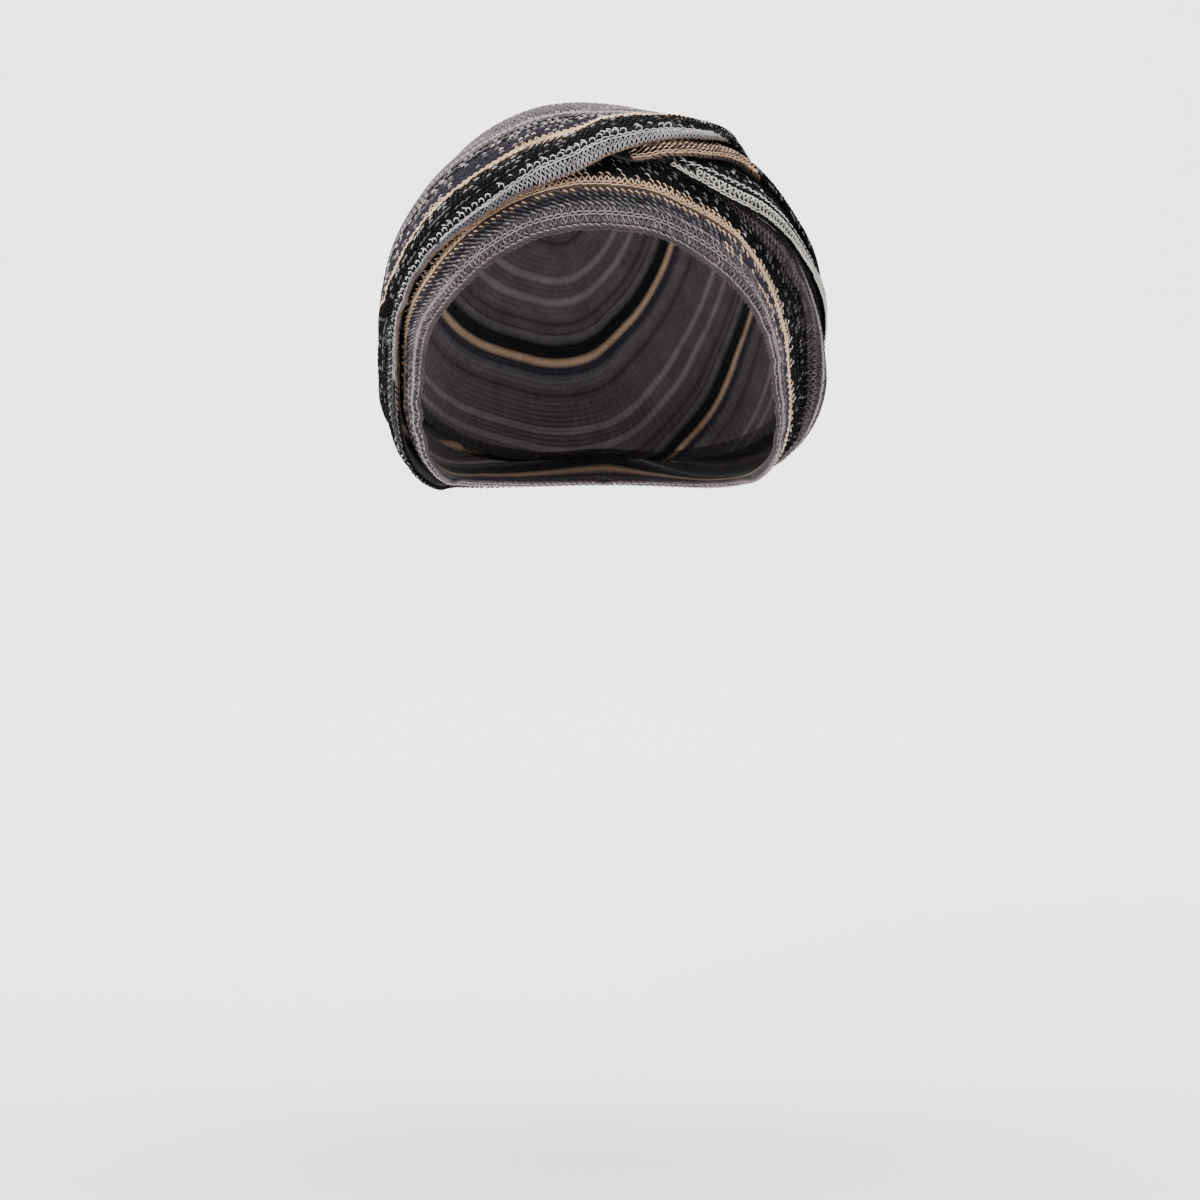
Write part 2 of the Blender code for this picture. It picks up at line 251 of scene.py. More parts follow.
CROWN_RIM = (
    Rim(0, 50),
    Rim(28, 47),
    Rim(54, 36),
    Rim(76, 25),
    Rim(95, 6),
    Rim(108, -14),
    Rim(128, -32),
    Rim(155, -41.5),
    Rim(180, -41.5),
    Rim(-155, -41.5),
    Rim(-130, -32),
    Rim(-112, -14),
    Rim(-98, 4),
    Rim(-80, 22),
    Rim(-56, 38),
    Rim(-28, 49),
)
CROWN_POLE = Rim(-165, 36)


class Yarn(Enum):
    """The dyed yarns: the colour in the light, and how far it varies along the yarn."""

    MAUVE = ((0.128, 0.106, 0.111), 0.42)
    PALE_MAUVE = ((0.310, 0.262, 0.270), 0.30)
    BROWN_MAUVE = ((0.062, 0.049, 0.049), 0.40)
    SMOKE = ((0.135, 0.127, 0.135), 0.50)
    NAVY = ((0.040, 0.034, 0.047), 0.50)
    BLACK = ((0.0050, 0.0047, 0.0050), 0.50)
    TAN = ((0.760, 0.530, 0.340), 0.32)
    RUST = ((0.190, 0.122, 0.080), 0.40)
    CREAM = ((0.820, 0.680, 0.520), 0.30)
    LILAC = ((0.340, 0.314, 0.320), 0.34)
    PALE_LILAC = ((0.560, 0.528, 0.545), 0.28)
    SAGE = ((0.620, 0.600, 0.530), 0.30)
    WHITE = ((0.820, 0.805, 0.790), 0.28)

    @property
    def colour(self) -> Colour:
        """The yarn's colour as linear red, green and blue."""
        return self.value[0]

    @property
    def variation(self) -> float:
        """The share of its brightness by which the dye varies."""
        return self.value[1]


class Stitch(Enum):
    """The kinds of stitch, each worked as two legs of yarn."""

    CHAIN = "chain"
    LATTICE = "lattice"
    SLANT = "slant"
    RISE = "rise"
    HOOK = "hook"
    VEE = "vee"
    LOOP = "loop"
    PLAIN = "plain"
    CORD = "cord"


MAUVE, PALE_MAUVE, BROWN_MAUVE, SMOKE, NAVY, BLACK, TAN, *PALER = Yarn
RUST, CREAM, LILAC, PALE_LILAC, SAGE, WHITE = PALER
CHAIN, LATTICE, SLANT, RISE, HOOK, VEE, LOOP, PLAIN, CORD = Stitch

RISING_LEG = Leg((-0.05, 0.14, 0.44, 0.64), (-0.50, -0.40, -0.18, -0.02), (0.1, 0.8, 0.9, 0.1))
LEGS: dict[Stitch, tuple[Leg, Leg]] = {
    CHAIN: (
        Leg(
            (-0.14, 0.15, 0.50, 0.85, 1.10),
            (0.02, 0.24, 0.30, 0.20, 0.00),
            (0.1, 0.7, 1.0, 0.8, 0.2),
        ),
        Leg(
            (-0.14, 0.15, 0.50, 0.85, 1.10),
            (-0.02, -0.24, -0.30, -0.20, 0.00),
            (0.1, 0.7, 1.0, 0.8, 0.2),
        ),
    ),
    PLAIN: (
        Leg((-0.05, 0.30, 0.66, 1.02), (0.40, 0.18, -0.04, -0.28), (0.1, 0.8, 0.8, 0.1)),
        Leg((0.45, 0.80, 1.12, 1.45), (0.40, 0.14, -0.12, -0.38), (0.1, 0.7, 0.7, 0.1)),
    ),
    CORD: (
        Leg(
            (-0.15, 0.20, 0.55, 0.90, 1.15),
            (-0.05, -0.38, -0.55, -0.45, -0.20),
            (0.8, 1.3, 0.9, 0.6, 0.3),
        ),
        Leg(
            (-0.15, 0.15, 0.50, 0.85, 1.10),
            (0.25, 0.34, 0.24, 0.06, -0.10),
            (0.9, 1.5, 1.9, 1.7, 1.2),
        ),
    ),
    LATTICE: (
        Leg((0.00, 0.14, 0.34, 0.50), (-0.56, -0.22, 0.22, 0.56), (0.2, 0.9, 0.9, 0.2)),
        Leg((0.50, 0.64, 0.84, 1.00), (0.56, 0.22, -0.22, -0.56), (0.1, 0.7, 0.7, 0.1)),
    ),
    SLANT: (
        Leg((-0.05, 0.14, 0.44, 0.62), (0.50, 0.38, 0.12, -0.06), (0.1, 0.8, 0.9, 0.1)),
        Leg((0.34, 0.56, 0.90, 1.12), (0.20, 0.06, -0.22, -0.42), (0.1, 1.0, 1.0, 0.1)),
    ),
    RISE: (
        RISING_LEG,
        Leg((0.32, 0.55, 0.90, 1.12), (-0.14, -0.02, 0.18, 0.36), (0.1, 1.0, 1.0, 0.1)),
    ),
    HOOK: (
        RISING_LEG,
        Leg(
            (0.20, 0.32, 0.66, 0.92, 0.86),
            (0.10, 0.42, 0.40, 0.02, -0.42),
            (0.3, 1.0, 1.2, 1.1, 0.3),
        ),
    ),
    VEE: (
        Leg(
            (-0.10, 0.14, 0.38, 0.62, 0.84),
            (0.52, 0.40, 0.26, 0.12, 0.00),
            (0.2, 0.9, 1.2, 1.1, 0.4),
        ),
        Leg(
            (0.10, 0.28, 0.46, 0.66, 0.84),
            (-0.46, -0.34, -0.22, -0.10, 0.00),
            (0.2, 0.8, 1.1, 1.0, 0.4),
        ),
    ),
    LOOP: (
        Leg(
            (0.22, 0.00, -0.04, 0.08, 0.34),
            (-0.44, -0.22, 0.06, 0.34, 0.46),
            (0.2, 0.8, 0.9, 0.8, 0.3),
        ),
        Leg(
            (0.34, 0.60, 0.68, 0.52, 0.22),
            (0.46, 0.30, 0.00, -0.32, -0.44),
            (0.3, 0.9, 1.0, 0.8, 0.2),
        ),
    ),
}


@dataclass(frozen=True)
class Row:
    """One row of stitches along a strip.

    at is its number, counted from the hem or the fold. The second leg of a stitch takes the
    accent yarn in the given share of the stitches. The row runs between its two turns, and its
    thickness and gauge are shares of the usual yarn and of the usual pitch along the row.
    """

    at: float
    yarn: Yarn
    stitch: Stitch = SLANT
    accent: Yarn | None = None
    share: float = 1.0
    start_turn: float = -181.0
    end_turn: float = 181.0
    thickness: float = 1.0
    gauge: float = 1.0


def unit(vectors: Array) -> Array:
    """The vectors, each at length 1."""
    return vectors / np.maximum(np.linalg.norm(vectors, axis=-1, keepdims=True), 1e-12)


def heading(turn: float, rise: float) -> Array:
    """The direction of a turn and a rise, on a hood that is scaled to a unit ball.

    Args:
        turn: Degrees round the hood, 0 at the front.
        rise: Degrees above the widest level.

    Returns:
        A unit vector.
    """
    turn, rise = math.radians(turn), math.radians(rise)
    level = math.cos(rise)
    return np.array([level * math.sin(turn), -level * math.cos(turn), math.sin(rise)])


def along(rows: Array, count: int, closed: bool) -> Array:
    """Rows of numbers read at even steps along a smooth curve through them.

    Args:
        rows: The numbers, a row for each point of the curve.
        count: How many steps to read.
        closed: Whether the last point runs into the first.

    Returns:
        The numbers read, a row for each step.
    """
    rows = np.asarray(rows, float)
    last = len(rows) if closed else len(rows) - 1
    place = np.arange(count) * last / (count if closed else count - 1)
    index = np.minimum(place.astype(int), last - 1)
    share = (place - index)[:, None]
    if closed:
        before, start, end, after = (rows[(index + step) % len(rows)] for step in (-1, 0, 1, 2))
    else:
        before, start, end, after = (
            rows[np.clip(index + step, 0, last)] for step in (-1, 0, 1, 2)
        )
    return (
        start
        + 0.5 * share * (end - before)
        + share**2 * (before - 2.5 * start + 2 * end - 0.5 * after)
        + share**3 * (1.5 * (start - end) + 0.5 * (after - before))
    )


def between(low: Array, top: Array, across: Array) -> Array:
    """Headings on the arcs from the low to the top headings, at each share across.

    Args:
        low: Headings along the lower edge.
        top: Headings along the upper edge.
        across: Shares of the way from the lower to the upper edge.

    Returns:
        A heading for each station and share.
    """
    cosine = (low * top).sum(axis=-1, keepdims=True)
    angle = np.arccos(np.clip(cosine, -1, 1))
    shares = across[None, :]
    from_low = np.sin((1 - shares) * angle) / np.sin(angle)
    from_top = np.sin(shares * angle) / np.sin(angle)
    return unit(from_low[..., None] * low[:, None] + from_top[..., None] * top[:, None])


def inset(places: Array, margin: float) -> Array:
    """Places from 0 to 1, drawn in by a margin at both ends."""
    return margin + (1 - 2 * margin) * places


def ring_faces(stations: int, ring: int, closed: bool) -> Array:
    """The faces of a tube, from each ring of corners to the next.

    Args:
        stations: How many rings it has.
        ring: How many corners a ring has.
        closed: Whether the last ring runs into the first.

    Returns:
        Four corners for each face.
    """
    station = np.arange(stations if closed else stations - 1)[:, None]
    here = np.arange(ring)[None]
    start, end, there = station * ring, (station + 1) % stations * ring, (here + 1) % ring
    corners = [start + here, end + here, end + there, start + there]
    return np.stack(corners, axis=-1).reshape(-1, 4)


def tube_points(
    paths: Array, tangents: Array, outs: Array, angles: Array, radii: Array | float
) -> Array:
    """Rings of corners round the points of paths.

    Args:
        paths: The points.
        tangents: The direction of the path at each of them.
        outs: The direction out of the cloth at each of them.
        angles: Where the corners of a ring lie, counted from the path's side.
        radii: The ring's radius, one or for each point.

    Returns:
        The corners of a ring for each point.
    """
    sides = unit(np.cross(tangents, outs))
    ups = np.cross(sides, tangents)
    rings = (
        np.cos(angles)[:, None] * sides[..., None, :] + np.sin(angles)[:, None] * ups[..., None, :]
    )
    return paths[..., None, :] + rings * radii


def put(name: str, data: bpy.types.ID) -> bpy.types.Object:
    """Puts a mesh, a light or a camera in the scene.

    Args:
        name: The object's name.
        data: What it shows.

    Returns:
        The object.
    """
    made = bpy.data.objects.new(name, data)
    bpy.context.scene.collection.objects.link(made)
    return made


def lay_map(mesh: bpy.types.Mesh, name: str, places: Array) -> None:
    """Adds a map to a mesh, with a place for each corner of its faces."""
    mesh.uv_layers.new(name=name).uv.foreach_set("vector", places.astype(np.float32).ravel())


class Hood:
    """The middle that every layer is measured from, and the frame's solids seen from it."""

    def __init__(self) -> None:
        """Reads the frame's nodes into trees for ray casting."""
        self.centre = np.array(HOOD_CENTRE)
        graph = bpy.context.evaluated_depsgraph_get()
        self.trees = {
            name: BVHTree.FromObject(node, graph) for name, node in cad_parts.items()
        }

    @staticmethod
    def directions(headings: Array) -> Array:
        """The unit vectors in which headings point on the hood in its own form.

        Args:
            headings: Unit vectors on the unit ball.

        Returns:
            Unit vectors from the hood's middle.
        """
        half_sizes = np.stack(
            [
                np.full(headings.shape[:-1], HOOD_HALF_WIDTH),
                np.where(headings[..., 1] < 0, HOOD_FRONT, HOOD_BACK),
                np.where(headings[..., 2] > 0, HOOD_RISE, HOOD_DROP),
            ],
            axis=-1,
        )
        return unit(headings * half_sizes)

    def reach(self, directions: Array, node: str, inside: bool) -> Array:
        """How far a face of a node lies from the middle.

        Args:
            directions: Unit vectors from the middle of the hood.
            node: The name of the frame's node.
            inside: Whether the inner face is wanted, and not the outer one.

        Returns:
            A distance for each direction, NaN where the node isn't met.
        """
        found = np.full(directions.shape[:-1], np.nan)
        for place in np.ndindex(found.shape):
            ray = Vector(directions[place])
            start = Vector(self.centre) + ray * (0.0 if inside else FAR_OUT)
            hit = self.trees[node].ray_cast(start, ray if inside else -ray, FAR_OUT)[0]
            if hit is not None:
                found[place] = (hit - Vector(self.centre)).length
        return found

    def covered(self, places: Array, nodes: Sequence[str]) -> Array:
        """Whether another node lies straight outside each place.

        Args:
            places: Points of a cloth.
            nodes: The nodes that may lie over them.

        Returns:
            A yes or no for each point.
        """
        found = np.zeros(places.shape[:-1], bool)
        for place in np.ndindex(found.shape):
            out = Vector(places[place] - self.centre).normalized()
            start = Vector(places[place]) + out * COVER_CLEARANCE
            found[place] = any(
                self.trees[node].ray_cast(start, out, FAR_OUT)[0] is not None for node in nodes
            )
        return found


@dataclass
class Track:
    """A line on the cloth that one row of stitches follows, with the cloth's own directions."""

    places: Array
    acrosses: Array
    outs: Array
    hidden: Array
    closed: bool

    def __post_init__(self) -> None:
        """Closes the line where it is a loop, and measures it."""
        if self.closed:
            for name in ("places", "acrosses", "outs", "hidden"):
                values = getattr(self, name)
                setattr(self, name, np.concatenate([values, values[:1]]))
        steps = np.linalg.norm(np.diff(self.places, axis=0), axis=1)
        self.lengths = np.pad(np.cumsum(steps), (1, 0))

    @property
    def length(self) -> float:
        """The line's whole length."""
        return float(self.lengths[-1])

    def read(self, values: Array, distances: Array) -> Array:
        """Values of the line's points, read at distances along it.

        Args:
            values: A vector for each point.
            distances: How far along the line to read.

        Returns:
            A vector for each distance.
        """
        if self.closed:
            distances = distances % self.length
        return np.stack(
            [np.interp(distances, self.lengths, values[:, axis]) for axis in range(3)], axis=-1
        )

    def shown(self, distances: Array) -> Array:
        """Whether each distance along the line is in sight from outside."""
        return np.interp(distances, self.lengths, self.hidden.astype(float)) < 0.5


class Cloth:
    """A strip of cloth: a fine grid of points on its outer face."""

    def __init__(
        self,
        hood: Hood,
        node: str,
        low: Array,
        top: Array,
        closed: bool,
        above: Sequence[str],
        margin: int,
    ) -> None:
        """Lays the strip on the outside of its node.

        Args:
            hood: The hood that it is laid out on.
            node: The frame's node that it stands for.
            low: Directions along its lower edge.
            top: Directions along its upper edge.
            closed: Whether it runs into itself.
            above: The nodes that may cover it.
            margin: How many cells under their edges still take stitches.
        """
        self.closed = closed
        directions = hood.directions(between(low, top, np.linspace(0, 1, COLUMNS)))
        outside, inside = (
            self.even(self.mended(hood.reach(directions, node, side))) for side in (False, True)
        )
        self.places = hood.centre + directions * outside[..., None]
        self.backs = hood.centre + directions * np.minimum(inside, outside - THINNEST)[..., None]
        self.outs = self.normals()
        self.hidden = self.shrunk(hood.covered(self.places, above), margin)
        self.roll_edge()
        steps = np.linalg.norm(np.diff(self.places, axis=1), axis=2)
        self.across = np.pad(np.cumsum(steps, axis=1), ((0, 0), (1, 0)))
        self.across -= self.across[:, [ROLL_COLUMNS]]
        self.turns = np.degrees(np.arctan2(low[:, 0], -low[:, 1]))

    def roll_edge(self) -> None:
        """Carries the outer face round the fold at the lower edge, to the inner face."""
        edge, out = self.places[:, :1], self.outs[:, :1]
        across = unit(self.places[:, 1:2] - edge)
        walls = ((self.places - self.backs) * self.outs)[:, 1:4].sum(axis=2).mean(axis=1)
        half = np.clip(walls, THINNEST, THICKEST)[:, None, None] / 2
        angles = np.linspace(math.pi, 0, ROLL_COLUMNS, endpoint=False)[None, :, None]
        bulge = np.minimum(half, ROLL_BULGE)
        round_it = edge + out * (np.cos(angles) - 1) * half - across * np.sin(angles) * bulge
        facing = unit(out * np.cos(angles) * bulge - across * np.sin(angles) * half)
        self.places = np.concatenate([round_it, self.places], axis=1)
        self.outs = np.concatenate([facing, self.outs], axis=1)
        edge_hidden = np.repeat(self.hidden[:, :1], ROLL_COLUMNS, axis=1)
        self.hidden = np.concatenate([edge_hidden, self.hidden], axis=1)

    @staticmethod
    def mended(reach: Array) -> Array:
        """The reach with its gaps filled from the same section.

        Args:
            reach: Distances from the middle, NaN in the gaps.

        Returns:
            The distances without gaps.
        """
        columns = np.arange(reach.shape[1])
        for section in reach:
            found = ~np.isnan(section)
            if found.any():
                section[:] = np.interp(columns, columns[found], section[found])
        stations = np.arange(len(reach))
        known = ~np.isnan(reach[:, 0])
        for column in reach.T:
            column[:] = np.interp(stations, stations[known], column[known])
        return reach

    def padded(self, grid: Array, reach: int) -> Array:
        """The grid with more sections and columns round it.

        Args:
            grid: A value for each section and column.
            reach: How many are added on each side.

        Returns:
            The wider grid.
        """
        mode = "wrap" if self.closed else "edge"
        grid = np.pad(grid, ((reach, reach), (0, 0)), mode=mode)
        return np.pad(grid, ((0, 0), (reach, reach)), mode="edge")

    def even(self, reach: Array) -> Array:
        """The reach with the facets of the solid smoothed away.

        Args:
            reach: Distances from the middle.

        Returns:
            The smoothed distances.
        """
        for _ in range(EVENING_ROUNDS):
            wide = self.padded(reach, 1)
            sides = wide[:-2, 1:-1] + wide[2:, 1:-1] + wide[1:-1, :-2] + wide[1:-1, 2:]
            reach = (1 - EVENING_SHARE) * reach + EVENING_SHARE / 4 * sides
        return reach

    def shrunk(self, covered: Array, margin: int) -> Array:
        """The covered cells that stay covered for a margin all round.

        Args:
            covered: Whether each cell is covered.
            margin: How many cells the margin takes.

        Returns:
            Whether each cell lies well under its cover.
        """
        wide = self.padded(covered, margin)
        found = np.ones_like(covered)
        rows, columns = covered.shape
        for row, column in np.ndindex(2 * margin + 1, 2 * margin + 1):
            found &= wide[row : row + rows, column : column + columns]
        return found

    def normals(self) -> Array:
        """The direction straight out of the cloth at each point.

        Returns:
            A unit vector for each point.
        """
        if self.closed:
            steps = np.roll(self.places, -1, axis=0) - np.roll(self.places, 1, axis=0)
        else:
            steps = np.gradient(self.places, axis=0)
        return unit(np.cross(steps, np.gradient(self.places, axis=1)))

    def track(self, depths: Array, allowed: Array, room: Array) -> list[Track]:
        """The lines at given distances above the lower edge.

        Args:
            depths: The distance for each section.
            allowed: Whether the row may be worked at each section.
            room: How wide the row may be at each section, in row pitches.

        Returns:
            A line for each stretch of sections where the row lies on the strip.
        """
        inside = allowed & (depths >= self.across[:, 0]) & (depths <= self.across[:, -1])
        if self.closed and inside.all():
            return [self.line(np.arange(len(inside)), depths, room, True)]
        order = np.arange(len(inside))
        if self.closed and inside.any():
            order = np.roll(order, -int(np.argmin(inside)))
        runs: list[list[int]] = [[]]
        for index in order:
            if inside[index]:
                runs[-1].append(int(index))
            elif runs[-1]:
                runs.append([])
        return [self.line(np.array(run), depths, room, False) for run in runs if len(run) > 2]

    def line(self, sections: Array, depths: Array, room: Array, closed: bool) -> Track:
        """One line through the sections given, at its distances above the lower edge.

        Args:
            sections: The numbers of the sections.
            depths: The distance for each section.
            room: How wide the row may be, in row pitches.
            closed: Whether it runs into itself.

        Returns:
            The line.
        """
        columns = np.arange(self.places.shape[1])
        places, acrosses, outs, hidden = [], [], [], []
        for index in sections:
            column = float(np.interp(depths[index], self.across[index], columns))
            lower = min(int(column), len(columns) - 2)
            share = column - lower
            start, end = self.places[index, lower], self.places[index, lower + 1]
            across = unit(end - start)
            below, above = self.outs[index, lower], self.outs[index, lower + 1]
            places.append(start + (end - start) * share)
            acrosses.append(across * room[index])
            outs.append(unit((1 - share) * below + share * above))
            hidden.append(self.hidden[index, round(column)])
        return Track(*map(np.array, (places, acrosses, outs, hidden)), closed)


@dataclass(frozen=True)
class Legs:
    """Legs of one yarn, all with the same number of beads."""

    paths: Array
    outs: Array
    radius: float
    yarn: Yarn

    def points(self) -> Array:
        """The corners of each leg's tube, ring by ring.

        Returns:
            A ring of corners for each bead.
        """
        tangents = unit(np.gradient(self.paths, axis=1))
        angles = np.arange(YARN_SIDES) * math.tau / YARN_SIDES + math.pi / 2
        taper = np.ones((self.paths.shape[1], 1, 1))
        taper[[0, -1]] = END_TAPER
        return tube_points(self.paths, tangents, self.outs, angles, taper * self.radius)


class Strands:
    """Legs of yarn that are gathered, then made into one mesh."""

    def __init__(self) -> None:
        """Starts with no legs."""
        self.legs: list[Legs] = []

    def add(self, legs: Legs) -> None:
        """Adds legs, where there are any."""
        if len(legs.paths):
            self.legs.append(legs)

    @property
    def triangles(self) -> int:
        """How many triangles the legs take."""
        per_bead = 2 * YARN_SIDES
        return sum(
            len(legs.paths) * ((legs.paths.shape[1] - 1) * per_bead + 2 * YARN_SIDES - 4)
            for legs in self.legs
        )

    def mesh(self, name: str, finishes: dict[Yarn, bpy.types.Material]) -> bpy.types.Mesh:
        """One mesh of all the legs, each a closed tube with its own material slot.

        Args:
            name: The mesh's name.
            finishes: A material for each yarn.

        Returns:
            The mesh.
        """
        used = sorted({legs.yarn for legs in self.legs}, key=lambda yarn: yarn.name)
        cells = math.ceil(math.sqrt(sum(len(legs.paths) for legs in self.legs)))
        points, walls, ends, slots, maps = [], [], [], [], []
        corners = cell = 0
        for legs in self.legs:
            count, beads = legs.paths.shape[:2]
            points.append(legs.points().reshape(-1, 3))
            first = corners + np.arange(count)[:, None, None, None] * beads * YARN_SIDES
            bead = np.arange(beads - 1)[None, :, None, None] + [0, 1, 1, 0]
            round_it = np.arange(YARN_SIDES)[None, None, :, None] + [0, 0, 1, 1]
            walls.append((first + bead * YARN_SIDES + round_it % YARN_SIDES).reshape(-1, 4))
            cap = np.arange(YARN_SIDES)[None]
            last = (beads - 1) * YARN_SIDES
            ends.append(first[:, 0, 0] + cap)
            ends.append(first[:, 0, 0] + last + cap[:, ::-1])
            slots.append(np.full((count, 2), used.index(legs.yarn)))
            maps.append(self.cell_map(cell + np.arange(count), cells, beads))
            corners += count * beads * YARN_SIDES
            cell += count
        mesh = mesh_of(name, np.concatenate(points), np.concatenate(walls), np.concatenate(ends))
        for yarn in used:
            mesh.materials.append(finishes[yarn])
        wall_slots = [
            np.repeat(slot[:, 0], len(wall) // len(slot)) for slot, wall in zip(slots, walls)
        ]
        cap_slots = [slot.T.ravel() for slot in slots]
        mesh.polygons.foreach_set(
            "material_index", np.concatenate(wall_slots + cap_slots).astype(np.int32)
        )
        for number, layer in enumerate(("OFBake", "Plies")):
            parts = [part[number][0] for part in maps] + [part[number][1] for part in maps]
            lay_map(mesh, layer, np.concatenate([part.reshape(-1, 2) for part in parts]))
        return mesh

    @staticmethod
    def cell_map(cell: Array, cells: int, beads: int) -> tuple[tuple[Array, Array], ...]:
        """Places on the map for legs, each in a cell of its own, and places along the yarn.

        Args:
            cell: The number of each leg's cell.
            cells: How many cells the map has along each side.
            beads: How many beads a leg has.

        Returns:
            The places of the walls and of the end caps, in the cells and along the yarn.
        """
        along_it = np.arange(beads - 1)[:, None, None] + [0, 1, 1, 0]
        round_it = np.arange(YARN_SIDES)[None, :, None] + [0, 0, 1, 1]
        along_it, round_it = np.broadcast_arrays(along_it, round_it)
        walls = np.stack([along_it / beads, round_it / (YARN_SIDES + 0.5)], -1).reshape(-1, 2)
        angles = np.arange(YARN_SIDES) * math.tau / YARN_SIDES
        cap = END_SPAN * np.stack([np.cos(angles), np.sin(angles)], -1)
        caps = np.stack([cap + place for place in END_PLACES])
        count = len(cell)
        corner = np.stack([cell % cells, cell // cells], -1)
        in_cell = [
            (inset(walls, LEG_MARGIN) + corner[:, None]) / cells,
            (inset(caps[:, None], LEG_MARGIN) + corner[None, :, None]) / cells,
        ]
        on_yarn = [
            np.broadcast_to(walls, (count, *walls.shape)),
            np.broadcast_to(caps[:, None], (2, count, *caps.shape[1:])),
        ]
        return tuple(in_cell), tuple(on_yarn)


def mesh_of(name: str, points: Array, *groups: Array) -> bpy.types.Mesh:
    """A smooth mesh of groups of faces, those of a group with the same number of corners.

    Args:
        name: The mesh's name.
        points: Its corners.
        groups: The corners of the faces.

    Returns:
        The mesh.
    """
    mesh = bpy.data.meshes.new(name)
    mesh.vertices.add(len(points))
    mesh.vertices.foreach_set("co", points.astype(np.float32).ravel())
    corners = np.concatenate([group.ravel() for group in groups])
    sizes = np.concatenate([np.full(len(group), group.shape[1]) for group in groups])
    mesh.loops.add(len(corners))
    mesh.loops.foreach_set("vertex_index", corners.astype(np.int32))
    mesh.polygons.add(len(sizes))
    starts = np.cumsum(sizes) - sizes
    mesh.polygons.foreach_set("loop_start", starts.astype(np.int32))
    mesh.update(calc_edges=True)
    mesh.shade_smooth()
    return mesh


@dataclass(frozen=True)
class Link:
    """An output socket of a node, with the shader that it is part of."""

    shader: "Shader"
    socket: bpy.types.NodeSocket

    def __add__(self, other: "Link | float") -> "Link":
        """The sum of two values."""
        return self.shader.maths("ADD", self, other)

    def __radd__(self, other: float) -> "Link":
        """A number plus this value."""
        return self.shader.maths("ADD", other, self)

    def __sub__(self, other: "Link | float") -> "Link":
        """This value less another."""
        return self.shader.maths("SUBTRACT", self, other)

    def __rsub__(self, other: float) -> "Link":
        """A number less this value."""
        return self.shader.maths("SUBTRACT", other, self)

    def __mul__(self, other: "Link | float") -> "Link":
        """The product of two values."""
        return self.shader.maths("MULTIPLY", self, other)

    def __rmul__(self, other: float) -> "Link":
        """A number times this value."""
        return self.shader.maths("MULTIPLY", other, self)


class Shader:
    """A material and the nodes that make it."""

    def __init__(self, name: str) -> None:
        """Starts a material with a Principled surface.

        Args:
            name: The material's name.
        """
        self.material = bpy.data.materials.new(name)
        self.material.use_nodes = True
        self.nodes = self.material.node_tree.nodes
        self.links = self.material.node_tree.links
        self.surface = self.nodes["Principled BSDF"]

    def node(
        self, kind: str, settings: dict[str, Any], sockets: dict[str, Any], output: str
    ) -> Link:
        """Adds a node.

        Args:
            kind: The node's type.
            settings: Its properties, and the stops of a ramp, which are set first.
            sockets: Values or links for its inputs, by identifier.
            output: The identifier of the output wanted.

        Returns:
            That output.
        """
        made = self.nodes.new(kind)
        for name, value in settings.items():
            if name == "stops":
                self.set_stops(made.color_ramp, value)
            else:
                setattr(made, name, value)
        inputs = {socket.identifier: socket for socket in made.inputs}
        for name, value in sockets.items():
            if isinstance(value, Link):
                self.links.new(value.socket, inputs[name])
            else:
                inputs[name].default_value = value
        outputs = {socket.identifier: socket for socket in made.outputs}
        return Link(self, outputs[output])

    @staticmethod
    def set_stops(ramp: bpy.types.ColorRamp, stops: Sequence[tuple[float, Colour]]) -> None:
        """Puts the stops on a ramp.

        Args:
            ramp: The ramp.
            stops: The place and colour of each stop.
        """
        while len(ramp.elements) < len(stops):
            ramp.elements.new(1.0)
        for element, (place, colour) in zip(ramp.elements, stops):
            element.position = place
            element.color = (*colour, 1.0)

    def maths(self, operation: str, first: Link | float, second: Link | float) -> Link:
        """A Math node on two values."""
        sockets = {"Value": first, "Value_001": second}
        return self.node("ShaderNodeMath", {"operation": operation}, sockets, "Value")

    def tinted(self, colour: Link | Colour, amount: Link) -> Link:
        """A colour made brighter or darker by an amount.

        Args:
            colour: The colour, or a link to one.
            amount: What it is multiplied by.

        Returns:
            A link to the new colour.
        """
        sockets = dict.fromkeys("XYZ", amount)
        grey = self.node("ShaderNodeCombineXYZ", {}, sockets, "Vector")
        start = colour if isinstance(colour, Link) else tuple(colour)
        sockets = {"Vector": start, "Vector_001": grey}
        return self.node("ShaderNodeVectorMath", {"operation": "MULTIPLY"}, sockets, "Vector")

    def noise(self, place: Link, scale: float, detail: float) -> Link:
        """Cloudy noise from 0 to 1.

        Args:
            place: Where it is read.
            scale: How fine it is.
            detail: Its finer layers.

        Returns:
            A link to the noise.
        """
        sockets = {"Vector": place, "Scale": scale, "Detail": detail}
        sockets["Roughness"] = NOISE_ROUGHNESS
        return self.node("ShaderNodeTexNoise", {}, sockets, "Fac")

    def feed(self, socket: str, value: Link | float | tuple) -> None:
        """Sets or links an input of the Principled surface.

        Args:
            socket: The input's name.
            value: A value, or a link to one.
        """
        if isinstance(value, Link):
            self.links.new(value.socket, self.surface.inputs[socket])
        else:
            self.surface.inputs[socket].default_value = value

    def apart(self, places: Link) -> tuple[Link, Link]:
        """The first two numbers of a place."""
        return tuple(
            self.node("ShaderNodeSeparateXYZ", {}, {"Vector": places}, axis) for axis in "XY"
        )

    def bump(self, height: Link, strength: float, distance: float) -> None:
        """Raises the surface by a height."""
        sockets = {"Height": height, "Strength": strength, "Distance": distance}
        self.feed("Normal", self.node("ShaderNodeBump", {}, sockets, "Normal"))


